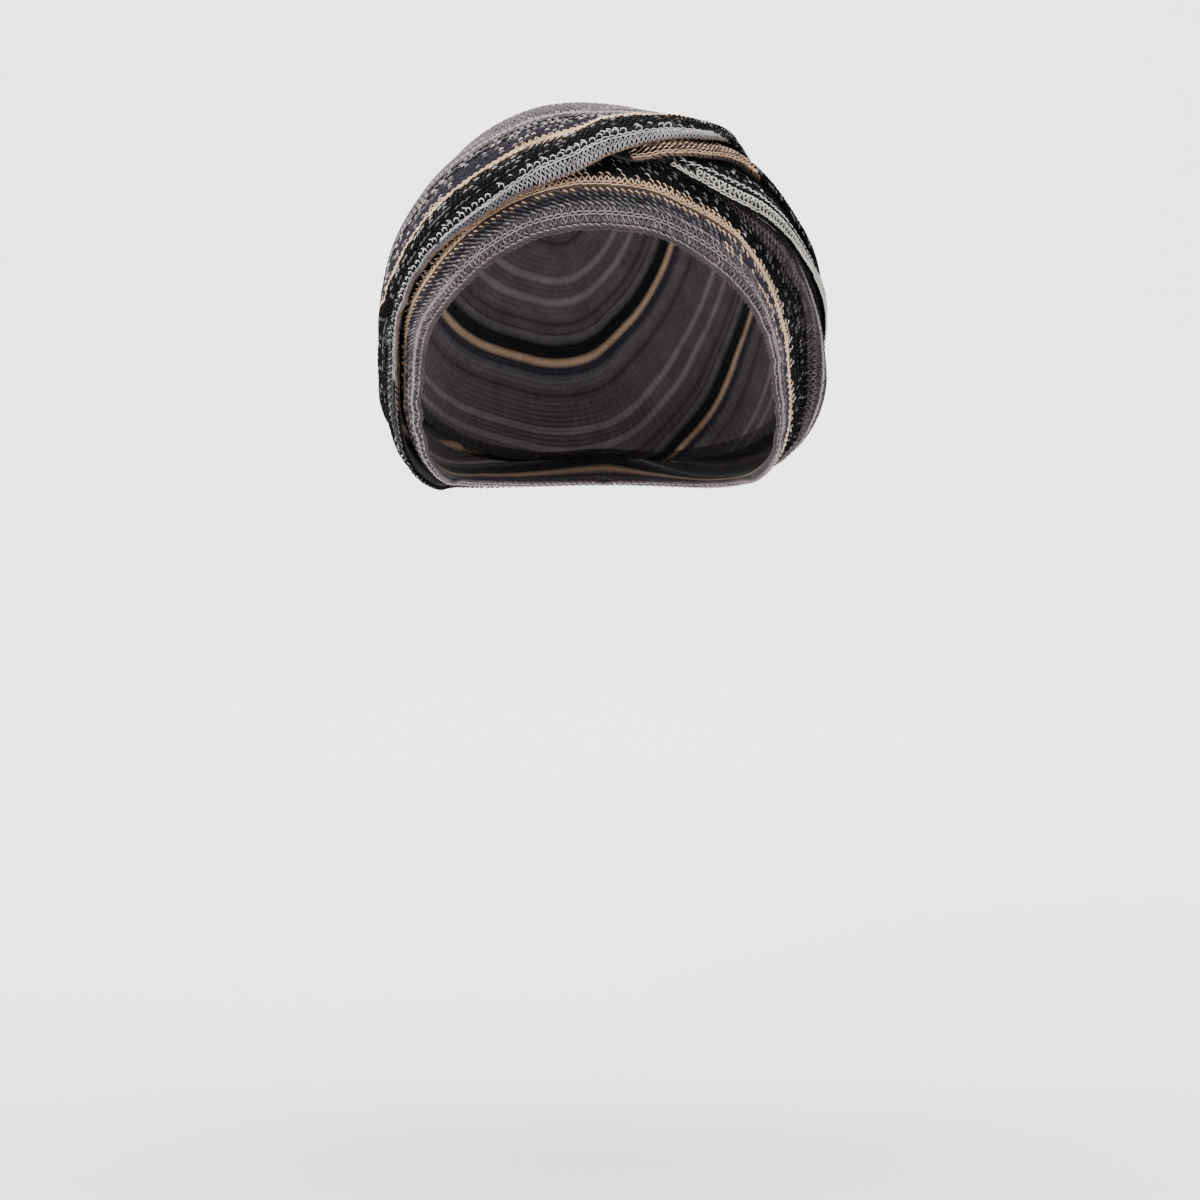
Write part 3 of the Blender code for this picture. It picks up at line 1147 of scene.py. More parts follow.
@dataclass(frozen=True)
class YarnFinish:
    """Soft spun yarn: two plies with painted shade in the grooves between them, loose fibres and a
    dye that varies along it.
    """

    yarn: Yarn
    slub_scale: float = 95.0
    slub_detail: float = 3.0
    slub_depth: float = 3.2
    fibre_scale: float = 1900.0
    fibre_detail: float = 2.0
    fibre_depth: float = 0.7
    plies: float = 5.0
    turns_round: float = 2.0
    ply_groove_shade: float = 0.07
    roughness: float = 0.86
    roughness_spread: float = 0.2
    sheen: float = 0.12
    sheen_roughness: float = 0.5
    specular: float = 0.25
    least_paleness: float = 0.15
    paleness_rate: float = 3.0
    twist_height: float = 0.5
    bump_strength: float = 0.6
    bump_height: float = 0.0002

    def material(self) -> bpy.types.Material:
        """Builds the yarn's material.

        Returns:
            The material.
        """
        shader = Shader(self.yarn.name.lower() + "_yarn")
        place = shader.node("ShaderNodeTexCoord", {}, {}, "Object")
        slub = shader.noise(place, self.slub_scale, self.slub_detail)
        fibre = shader.noise(place, self.fibre_scale, self.fibre_detail)
        strand = shader.node("ShaderNodeUVMap", {"uv_map": "Plies"}, {}, "UV")
        turns, round_it = shader.apart(strand)
        angle = (turns * self.plies + round_it * self.turns_round) * math.tau
        twist = shader.maths("SINE", angle, 0.0)
        dye = (slub - 0.5) * (self.slub_depth * self.yarn.variation)
        # The twist darkens the colour in its troughs, in step with the bump: painted shade in the
        # grooves between the plies.
        amount = dye + (fibre - 0.5) * self.fibre_depth + twist * self.ply_groove_shade + 1.0
        shader.feed("Base Color", shader.tinted(self.yarn.colour, amount))
        shader.feed("Roughness", self.roughness + (fibre - 0.5) * self.roughness_spread)
        paleness = min(1.0, self.least_paleness + self.paleness_rate * max(self.yarn.colour))
        shader.feed("Sheen Weight", self.sheen * paleness)
        shader.feed("Sheen Roughness", self.sheen_roughness)
        shader.feed("Specular IOR Level", self.specular * paleness)
        shader.bump(twist * self.twist_height + fibre, self.bump_strength, self.bump_height)
        return shader.material


@dataclass(frozen=True)
class Stripes:
    """The colours of a strip's rows, over a span of row numbers that may come again."""

    rows: tuple[tuple[float, Colour], ...]
    first: float
    span: float
    again: bool

    def stops(self) -> list[tuple[float, Colour]]:
        """The rows as stops of a ramp, thinned out to as many as a ramp takes."""
        step = math.ceil(len(self.rows) / MOST_STOPS)
        return [((at - self.first) / self.span, colour) for at, colour in self.rows[::step]]


@dataclass(frozen=True)
class ClothFinish:
    """The cloth under the raised stitches: the same stripes, darkened as painted shade, deeply on
    the outer face between the stitches and less on the inner face, the reverse.
    """

    name: str
    stripes: Stripes
    painted_shade: float
    slub_scale: float = 95.0
    slub_detail: float = 3.0
    slub_depth: float = 0.8
    fibre_scale: float = 1500.0
    fibre_detail: float = 2.0
    fibre_depth: float = 0.5
    roughness: float = 0.9
    roughness_spread: float = 0.15
    sheen: float = 0.1
    specular: float = 0.2
    row_height: float = 0.5
    stitch_height: float = 0.35
    fibre_height: float = 0.5
    bump_strength: float = 0.5
    bump_height: float = 0.0006

    def material(self) -> bpy.types.Material:
        """Builds the cloth's material.

        Returns:
            The material.
        """
        shader = Shader(self.name)
        place = shader.node("ShaderNodeTexCoord", {}, {}, "Object")
        strip = shader.node("ShaderNodeUVMap", {"uv_map": "Strip"}, {}, "UV")
        along_it, across = shader.apart(strip)
        share = (across - self.stripes.first) * (1 / self.stripes.span)
        if self.stripes.again:
            share = shader.maths("FLOORED_MODULO", share, 1.0)
        stripes = shader.node(
            "ShaderNodeValToRGB", {"stops": self.stripes.stops()}, {"Fac": share}, "Color"
        )
        rows = shader.maths("SINE", across * math.tau, 0.0)
        stitches = shader.maths("SINE", along_it * (math.tau / STITCH_PITCH), 0.0)
        fibre = shader.noise(place, self.fibre_scale, self.fibre_detail)
        slub = shader.noise(place, self.slub_scale, self.slub_detail)
        amount = (slub - 0.5) * self.slub_depth + (fibre - 0.5) * self.fibre_depth + 1.0
        # Painted shade: the stripes are darkened by the face's share.
        shader.feed("Base Color", shader.tinted(stripes, amount * self.painted_shade))
        shader.feed("Roughness", self.roughness + (fibre - 0.5) * self.roughness_spread)
        shader.feed("Sheen Weight", self.sheen)
        shader.feed("Specular IOR Level", self.specular)
        height = rows * self.row_height + stitches * self.stitch_height
        height = height + fibre * self.fibre_height
        shader.bump(height, self.bump_strength, self.bump_height)
        return shader.material


@dataclass(frozen=True)
class PaperFinish:
    """The pale paper of the studio's floor and backdrop."""

    colour: Colour = (0.97, 0.935, 0.965)
    roughness: float = 0.85
    specular: float = 0.1

    def material(self) -> bpy.types.Material:
        """Builds the paper's material.

        Returns:
            The material.
        """
        shader = Shader("studio_paper")
        shader.feed("Base Color", (*self.colour, 1.0))
        shader.feed("Roughness", self.roughness)
        shader.feed("Specular IOR Level", self.specular)
        return shader.material


@dataclass
class Layer:
    """One layer of the wrap: its strip of cloth and the rows of stitches worked on it."""

    name: str
    node: str
    slot: str
    rows: tuple[Row, ...]
    above: tuple[str, ...]
    held: str
    rests_on: tuple[str, ...]
    sections: tuple[Section, ...] = ()
    closed: bool = True
    marked: tuple[float, ...] = (0.0, 1.0)
    marks: tuple[Marks, ...] = (Marks(0.0, (0.0, 1.0)),)
    lowest: float = -math.inf
    margin: int = HIDDEN_MARGIN
    pieces: list[bpy.types.Object] = field(default_factory=list)

    def edges(self) -> tuple[Array, Array]:
        """Directions along the strip's lower and upper edges.

        Returns:
            The lower edge and the upper one.
        """
        low = [heading(section.low_turn, section.low_rise) for section in self.sections]
        top = [heading(section.top_turn, section.top_rise) for section in self.sections]
        return tuple(unit(along(edge, STATIONS, self.closed)) for edge in (low, top))

    def lay(self, hood: Hood) -> None:
        """Lays the strip on the hood."""
        low, top = self.edges()
        self.cloth = Cloth(hood, self.node, low, top, self.closed, self.above, self.margin)

    def depths(self, at: float) -> Array:
        """How far a row lies above the lower edge, for each section.

        Args:
            at: The row's number.

        Returns:
            A distance for each section.
        """
        turns = [mark.turn for mark in self.marks]
        below, above = self.marked[0], self.marked[-1]
        places = [
            np.interp(self.cloth.turns, turns, [mark.rows[number] for mark in self.marks])
            for number in range(len(self.marked))
        ]
        inner = np.array(
            [np.interp(at, self.marked, section) for section in np.transpose(places)]
        )
        beyond = min(at - below, 0.0) + max(at - above, 0.0)
        return (inner + beyond) * ROW_PITCH

    def weave(self) -> bpy.types.Object:
        """Makes the cloth under the stitches, as a wall with an outer and an inner face.

        Returns:
            The cloth as a piece of the scene.
        """
        outer = self.cloth.places - self.cloth.outs * CLOTH_DEPTH
        rings = np.concatenate([outer, self.cloth.backs[:, :0:-1]], axis=1)
        ring = rings.shape[1]
        faces = ring_faces(STATIONS, ring, self.closed)
        if not self.closed:
            half = np.arange((ring - 1) // 2)
            last = (STATIONS - 1) * ring
            start = np.stack([half, half + 1, (-half - 2) % ring, (-half - 1) % ring], axis=-1)
            faces = np.concatenate([faces, start, start[:, ::-1] + last])
        mesh = mesh_of(self.name + "_cloth", rings.reshape(-1, 3), faces)
        self.dress_cloth(mesh, faces, ring)
        cloth = self.placed(mesh)
        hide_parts(self.node)
        middle = self.cloth.places[:, COLUMNS // 2 + ROLL_COLUMNS]
        steps = np.linalg.norm(np.gradient(middle, axis=0), axis=1)
        width = self.cloth.across[:, -1]
        widest, length = float(width.max()), float(steps.sum())
        least, most = LEAST_AREA_SHARE * widest * length, widest * length
        area = min(max(float((steps * width).sum()), least), most)
        return cloth

    def dress_cloth(self, mesh: bpy.types.Mesh, faces: Array, ring: int) -> None:
        """Gives the cloth its stripes, outside and inside.

        Args:
            mesh: The cloth's mesh.
            faces: The corners of its faces.
            ring: How many corners go round a section.
        """
        outer = self.cloth.places.shape[1]
        column, station = faces % ring, faces // ring
        inner = column >= outer
        column = np.where(inner, ring - 1 - column + ROLL_COLUMNS + 1, column)
        numbers = np.arange(self.rows[0].at - 1, self.rows[-1].at + 2)
        lines = np.transpose([self.depths(number) for number in numbers])
        at = np.array(
            [np.interp(across, line, numbers) for across, line in zip(self.cloth.across, lines)]
        )
        steps = np.linalg.norm(np.diff(self.cloth.places[:, outer // 2], axis=0), axis=1)
        lengths = np.pad(np.cumsum(steps), (1, 0))
        places = np.stack([lengths[station], at[station, column]], -1)
        fold = STATIONS // MAP_FOLDS
        first = faces[:, :1]
        row = first // ring // fold
        turned = (station - first // ring) % STATIONS
        crossed = (faces - first) % ring
        u = (first // ring % fold + np.where(turned > 1, 0, turned)) / fold
        v = (first % ring + np.where(crossed > 1, 0, crossed)) / ring
        in_cell = [inset(u, FOLD_MARGIN), (inset(v, CLOTH_MARGIN) + row) / MAP_FOLDS]
        lay_map(mesh, "OFBake", np.stack(in_cell, -1))
        lay_map(mesh, "Strip", places)
        stripes = self.stripes()
        # Both faces take the stripes darkened as painted shade, the outer face deeply between the
        # stitches and the inner face less.
        for side, shade in (("_shade", OUTER_SHADE), ("_reverse", INNER_SHADE)):
            mesh.materials.append(ClothFinish(self.name + side, stripes, shade).material())
        mesh.polygons.foreach_set("material_index", inner.all(axis=1).astype(np.int32))

    def stripes(self) -> Stripes:
        """The colours of the strip's rows.

        Returns:
            The stripes.
        """
        first, last = self.rows[0].at, self.rows[-1].at
        rows = {row.at: row.yarn.colour for row in self.rows}
        return Stripes(tuple(sorted(rows.items())), first, last - first, False)

    def placed(self, mesh: bpy.types.Mesh) -> bpy.types.Object:
        """Puts a mesh in the scene as a piece of this layer.

        Args:
            mesh: The mesh.

        Returns:
            The piece.
        """
        piece = put(mesh.name, mesh)
        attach(piece, "root")
        self.pieces.append(piece)
        LOG.info("%s: %d faces", piece.name, len(mesh.polygons))
        return piece

    def work(self, finishes: dict[Yarn, bpy.types.Material], chance: np.random.Generator) -> None:
        """Works the rows of stitches on the cloth, in as many pieces as they need.

        Args:
            finishes: A material for each yarn.
            chance: Where the random draws come from.
        """
        strands = Strands()
        for row in self.rows:
            if strands.triangles > MOST_TRIANGLES:
                self.placed(strands.mesh(f"{self.name}_stitches_{len(self.pieces)}", finishes))
                strands = Strands()
            depths = self.depths(row.at)
            inside = (self.cloth.turns >= row.start_turn) & (self.cloth.turns < row.end_turn)
            inside &= depths >= self.lowest
            room = (self.depths(row.at + 0.5) - self.depths(row.at - 0.5)) / ROW_PITCH
            room = np.minimum(room, WIDEST_ROW)
            for line in self.cloth.track(depths, inside, room):
                self.work_row(row, line, strands, chance)
        self.placed(strands.mesh(f"{self.name}_stitches_{len(self.pieces)}", finishes))

    def work_row(
        self, row: Row, line: Track, strands: Strands, chance: np.random.Generator
    ) -> None:
        """Works one row along a line.

        Args:
            row: The row.
            line: The line that it follows.
            strands: What takes its legs.
            chance: Where the random draws come from.
        """
        count = max(int(line.length / (STITCH_PITCH * row.gauge)), 1)
        pitch = line.length / count
        starts = (np.arange(count) + chance.uniform(0, 1) * line.closed) * pitch
        starts = starts[line.shown(starts % line.length)]
        for number, leg in enumerate(LEGS[row.stitch]):
            along_it, across_it, raised = np.array(leg)
            sway = chance.normal(0, SWAY, (len(starts), 2))
            distances = starts[:, None] + (along_it + sway[:, :1]) * pitch
            places = line.read(line.places, distances)
            acrosses = line.read(line.acrosses, distances)
            outs = unit(line.read(line.outs, distances))
            across = (across_it + sway[:, 1:]) * ROW_PITCH
            height = raised * RELIEF - STRAND_DEPTH - YARN_RADIUS
            paths = places + acrosses * across[..., None] + outs * height[:, None]
            takes_accent = np.zeros(len(starts), bool)
            if row.accent is not None and number > 0:
                takes_accent = chance.random(len(starts)) < row.share
            radius = YARN_RADIUS * row.thickness
            strands.add(Legs(paths[~takes_accent], outs[~takes_accent], radius, row.yarn))
            if row.accent is not None:
                strands.add(Legs(paths[takes_accent], outs[takes_accent], radius, row.accent))


@dataclass
class Crown(Layer):
    """The dome: its rows run round a pole, from the edge of the wrap inwards."""

    rounds: int = CROWN_ROUNDS
    ease: int = CROWN_EASE

    def edges(self) -> tuple[Array, Array]:
        """Headings along the crown's rim, and the pole for each of them.

        Returns:
            The rim's headings and the pole's.
        """
        rim = [heading(point.turn, point.rise) for point in CROWN_RIM]
        low = unit(along(rim, STATIONS, True))
        pole = heading(CROWN_POLE.turn, CROWN_POLE.rise)
        return low, np.broadcast_to(pole, low.shape).copy()

    def lay(self, hood: Hood) -> None:
        """Lays the crown, and finds where the top wrap's edge crosses each section.

        Args:
            hood: The hood that it is laid out on.
        """
        super().lay(hood)
        pole = heading(CROWN_POLE.turn, CROWN_POLE.rise)
        side = unit(np.cross(pole, [0.0, 0.0, 1.0]))
        up = np.cross(side, pole)
        edge = [heading(section.top_turn, section.top_rise) for section in LEFT_WRAP_SECTIONS]
        edge = unit(along(edge, STATIONS, True))
        rim = self.edges()[0]
        bearings = [np.arctan2(line @ up, line @ side) for line in (edge, rim)]
        angles = [np.arccos(np.clip(line @ pole, -1, 1)) for line in (edge, rim)]
        order = np.argsort(bearings[0])
        met = np.interp(bearings[1], bearings[0][order], angles[0][order], period=math.tau)
        share = np.clip(1 - met / angles[1], 0, 1)
        columns = np.linspace(0, 1, COLUMNS)
        across = self.cloth.across[:, ROLL_COLUMNS:]
        start = np.array([np.interp(part, columns, line) for part, line in zip(share, across)])
        widths = np.linspace(-CROWN_EASE_WIDTHS, CROWN_EASE_WIDTHS, 2 * self.ease + 1)
        reach = np.exp(-(widths**2))
        wide = np.pad(start, self.ease, mode="wrap")
        self.start = np.convolve(wide, reach / reach.sum(), mode="valid")

    def stripes(self) -> Stripes:
        """The colours of one round of the cycle.

        Returns:
            The stripes.
        """
        cycle = len(CROWN_CYCLE)
        rows = tuple((row.at, row.yarn.colour) for row in self.rows[:cycle])
        return Stripes(rows, rows[0][0], cycle, True)

    def depths(self, at: float) -> Array:
        """How far a row lies above the rim: a share of the way from the wrap to the pole."""
        return self.start + (self.cloth.across[:, -1] - self.start) * at / self.rounds


@dataclass
class Hem:
    """The chain-stitch edging along the opening."""

    band: Layer
    drop: float = 0.0031
    set_in: float = 0.0023
    core_radius: float = 0.0009
    sides: int = 8
    thickness: float = 1.05

    def __post_init__(self) -> None:
        """Takes its line from the band's lower edge."""
        level, everywhere = np.zeros(STATIONS), np.ones(STATIONS, bool)
        line = self.band.cloth.track(level, everywhere, np.ones(STATIONS))[0]
        places = line.places - line.acrosses * self.drop - line.outs * self.set_in
        self.line = Track(
            places[:-1], line.acrosses[:-1], line.outs[:-1], line.hidden[:-1], True
        )
        self.layer = Layer("hem", "brow_hem", "hem_yarn", (), (), "stretched", ("brow_band",))

    def core(self) -> bpy.types.Mesh:
        """The cord inside the chain.

        Returns:
            Its mesh.
        """
        points, outs = self.line.places[:-1], self.line.outs[:-1]
        tangents = unit(np.roll(points, -1, axis=0) - np.roll(points, 1, axis=0))
        angles = np.arange(self.sides) * math.tau / self.sides
        corners = tube_points(points, tangents, outs, angles, self.core_radius)
        faces = ring_faces(len(points), self.sides, True)
        return mesh_of("hem_cord", corners.reshape(-1, 3), faces)

    def work(self, finishes: dict[Yarn, bpy.types.Material], chance: np.random.Generator) -> None:
        """Makes the core cord and the chain round it.

        Args:
            finishes: A material for each yarn.
            chance: Where the random draws come from.
        """
        mesh = self.core()
        mesh.materials.append(finishes[BROWN_MAUVE])
        mesh.uv_layers.new(name="Plies")
        cord = self.layer.placed(mesh)
        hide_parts("brow_hem")
        strands = Strands()
        chain = Row(0.0, BROWN_MAUVE, CORD, PALE_MAUVE, 1.0, thickness=self.thickness)
        self.layer.work_row(chain, self.line, strands, chance)
        self.layer.placed(strands.mesh("hem_chain", finishes))


LAMPS = (
    Lamp("key", (-1.3, -2.2, 1.8), HOOD_CENTRE, 1.1, 98.0),
    Lamp("fill", (1.9, -1.9, 0.7), HOOD_CENTRE, 2.0, 8.0),
    Lamp("top", (0.2, 0.5, 2.1), HOOD_CENTRE, 1.8, 26.0),
    Lamp("backdrop", (0.0, 0.9, 2.4), (0.0, 3.4, 0.4), 3.0, 280.0),
)


@dataclass
class Studio:
    """The floor, backdrop, lights and camera."""

    bend: float = 1.2
    bend_steps: int = 16
    near: float = 5.0
    painted_shade: float = 2.2
    height: float = 4.0
    half_width: float = 6.0
    air_colour: Colour = (0.93, 0.93, 0.95)
    air_strength: float = 0.72
    far_clip: float = 50.0

    def build(self) -> None:
        """Sets up the whole studio."""
        self.sweep()
        for lamp in LAMPS:
            self.light(lamp)
        self.camera()
        world = bpy.context.scene.world or bpy.data.worlds.new("studio_air")
        bpy.context.scene.world = world
        world.use_nodes = True
        air = world.node_tree.nodes["Background"]
        air.inputs["Color"].default_value = (*self.air_colour, 1.0)
        air.inputs["Strength"].default_value = self.air_strength

    def sweep(self) -> None:
        """A floor that curves up into a backdrop."""
        profile = [(-self.near, FLOOR_LEVEL)]
        for step in range(self.bend_steps + 1):
            angle = math.pi / 2 * step / self.bend_steps
            rise = self.bend * (1 - math.cos(angle))
            profile.append((self.painted_shade + self.bend * math.sin(angle), FLOOR_LEVEL + rise))
        profile.append((self.painted_shade + self.bend, FLOOR_LEVEL + self.height))
        sides = (-self.half_width, self.half_width)
        points = np.array([(x, y, z) for y, z in profile for x in sides])
        faces = np.arange(len(profile) - 1)[:, None] * 2 + np.array([0, 1, 3, 2])
        mesh = mesh_of("studio_sweep", points, faces)
        mesh.materials.append(PaperFinish().material())
        put("studio_sweep", mesh)

    @staticmethod
    def light(lamp: Lamp) -> None:
        """Hangs a light, turned to what it faces.

        Args:
            lamp: The light.
        """
        area = bpy.data.lights.new(lamp.name, "AREA")
        area.shape = "SQUARE"
        area.size = lamp.size
        area.energy = lamp.power
        holder = put(lamp.name, area)
        holder.location = lamp.place
        away = Vector(lamp.place) - Vector(lamp.aim)
        holder.rotation_euler = away.to_track_quat("Z", "Y").to_euler()

    def camera(self) -> None:
        """The camera, where the photograph was taken from."""
        rise = math.radians(CAMERA_RISE)
        back = Vector((0.0, -math.cos(rise), math.sin(rise)))
        up = Vector((0.0, math.sin(rise), math.cos(rise)))
        place = Vector(HOOD_CENTRE) + back * CAMERA_DISTANCE
        middle = PHOTO_PIXELS / 2
        per_pixel = CAMERA_DISTANCE / FOCAL_PIXELS
        aim = Vector(HOOD_CENTRE) - up * ((middle - HOOD_PIXEL[1]) * per_pixel)
        aim -= Vector((1.0, 0.0, 0.0)) * ((HOOD_PIXEL[0] - middle) * per_pixel)
        lens = bpy.data.cameras.new("photo_camera")
        lens.sensor_width = SENSOR_MM
        lens.lens = SENSOR_MM * FOCAL_PIXELS / PHOTO_PIXELS
        lens.clip_end = self.far_clip
        camera = put("photo_camera", lens)
        camera.location = place
        camera.rotation_euler = (place - aim).to_track_quat("Z", "Y").to_euler()
        bpy.context.scene.camera = camera


BAND_ROWS = (
    Row(0.9, MAUVE, LATTICE, PALE_MAUVE, 0.6, thickness=0.75, gauge=0.75),
    Row(1.8, MAUVE, LATTICE, PALE_MAUVE, 0.5, thickness=0.75, gauge=0.75),
    Row(2.65, PALE_MAUVE, CHAIN, thickness=0.85),
    Row(3.5, MAUVE, LATTICE, PALE_MAUVE, 0.4, thickness=0.75, gauge=0.75),
    Row(4.45, SMOKE, SLANT, PALE_MAUVE, 0.6, end_turn=34, thickness=0.85),
    Row(4.45, SMOKE, SLANT, TAN, 0.6, 34, 66, 0.8),
    Row(4.45, SMOKE, SLANT, MAUVE, 0.6, start_turn=66),
    Row(5.4, NAVY, SLANT, SMOKE, 0.6, end_turn=34),
    Row(5.4, NAVY, SLANT, TAN, 0.35, 34, 60, 0.8),
    Row(5.4, NAVY, SLANT, SMOKE, 0.6, start_turn=60),
    Row(6.35, NAVY, SLANT, SMOKE, 0.4),
    Row(7.4, NAVY, SLANT, TAN, 0.85, thickness=0.85),
    Row(8.6, TAN, CHAIN, thickness=0.85),
    Row(9.5, TAN, LATTICE, CREAM, 0.4, thickness=0.85, gauge=0.85),
    Row(10.5, BLACK, SLANT, TAN, 0.7, thickness=0.75),
    Row(11.4, BLACK, SLANT, WHITE, 0.3, thickness=0.6),
    Row(12.4, BLACK, SLANT, SMOKE, 0.3, thickness=0.8),
    Row(13.4, BLACK, SLANT, SMOKE, 0.3, thickness=0.8),
    Row(14.2, BLACK, SLANT, SMOKE, 0.4, thickness=0.8),
    Row(14.7, BLACK, SLANT, BROWN_MAUVE, 0.5, 50, 90),
    Row(15.2, BROWN_MAUVE, LATTICE, MAUVE, 0.5),
    Row(15.65, BROWN_MAUVE, LATTICE, SMOKE, 0.3, 50, 90),
    Row(16.1, MAUVE, LATTICE, SMOKE, 0.4),
    Row(16.55, BROWN_MAUVE, LATTICE, MAUVE, 0.4, 50, 90),
    Row(17.0, BROWN_MAUVE, LATTICE),
    Row(17.4, MAUVE, LATTICE, SMOKE, 0.3, 50, 90),
    Row(17.8, LILAC, CHAIN, thickness=0.7),
    Row(18.7, MAUVE, LATTICE, SMOKE, 0.5),
    Row(19.7, BROWN_MAUVE, LATTICE, SMOKE, 0.5),
    Row(20.7, BROWN_MAUVE, SLANT, SMOKE, 0.5),
    Row(21.7, BROWN_MAUVE, SLANT, MAUVE, 0.5),
    Row(22.7, SMOKE, SLANT, BROWN_MAUVE, 0.5),
    Row(23.7, BROWN_MAUVE, SLANT, SMOKE, 0.5),
    *(Row(at, BROWN_MAUVE) for at in (24.7, 25.7)),
    *(Row(at, MAUVE) for at in (26.7, 27.7, 28.7)),
    Row(29.7, BROWN_MAUVE),
    *(Row(at, MAUVE) for at in (30.7, 31.7)),
    Row(32.7, BROWN_MAUVE),
)

# The rows whose places are marked round the band: the edge, the tan, the last black, the lilac.
BAND_MARKED = (0.0, 8.6, 14.2, 17.8)
BAND_MARKS = (
    Marks(-180.0, (-1.8, 4.0, 8.0, 11.0)),
    Marks(-90.0, (-1.8, 4.0, 8.0, 11.0)),
    Marks(-60.0, (-1.8, 5.0, 9.0, 12.0)),
    Marks(-34.0, (-1.8, 6.8, 11.5, 15.0)),
    Marks(0.0, (-1.8, 6.9, 12.5, 16.1)),
    Marks(24.0, (-1.8, 6.9, 12.0, 15.3)),
    Marks(34.0, (-1.8, 7.9, 11.9, 14.8)),
    Marks(41.0, (-1.8, 8.3, 11.4, 14.4)),
    Marks(47.0, (-1.8, 6.9, 10.7, 15.6)),
    Marks(54.0, (-1.8, 4.7, 9.7, 17.7)),
    Marks(60.0, (-1.8, 3.2, 9.5, 18.9)),
    Marks(67.0, (-1.8, 3.2, 9.6, 19.0)),
    Marks(76.0, (-1.8, 3.4, 10.4, 18.0)),
    Marks(83.0, (-1.8, 2.8, 13.0, 19.0)),
    Marks(110.0, (-1.8, 4.0, 8.0, 11.0)),
    Marks(180.0, (-1.8, 4.0, 8.0, 11.0)),
)
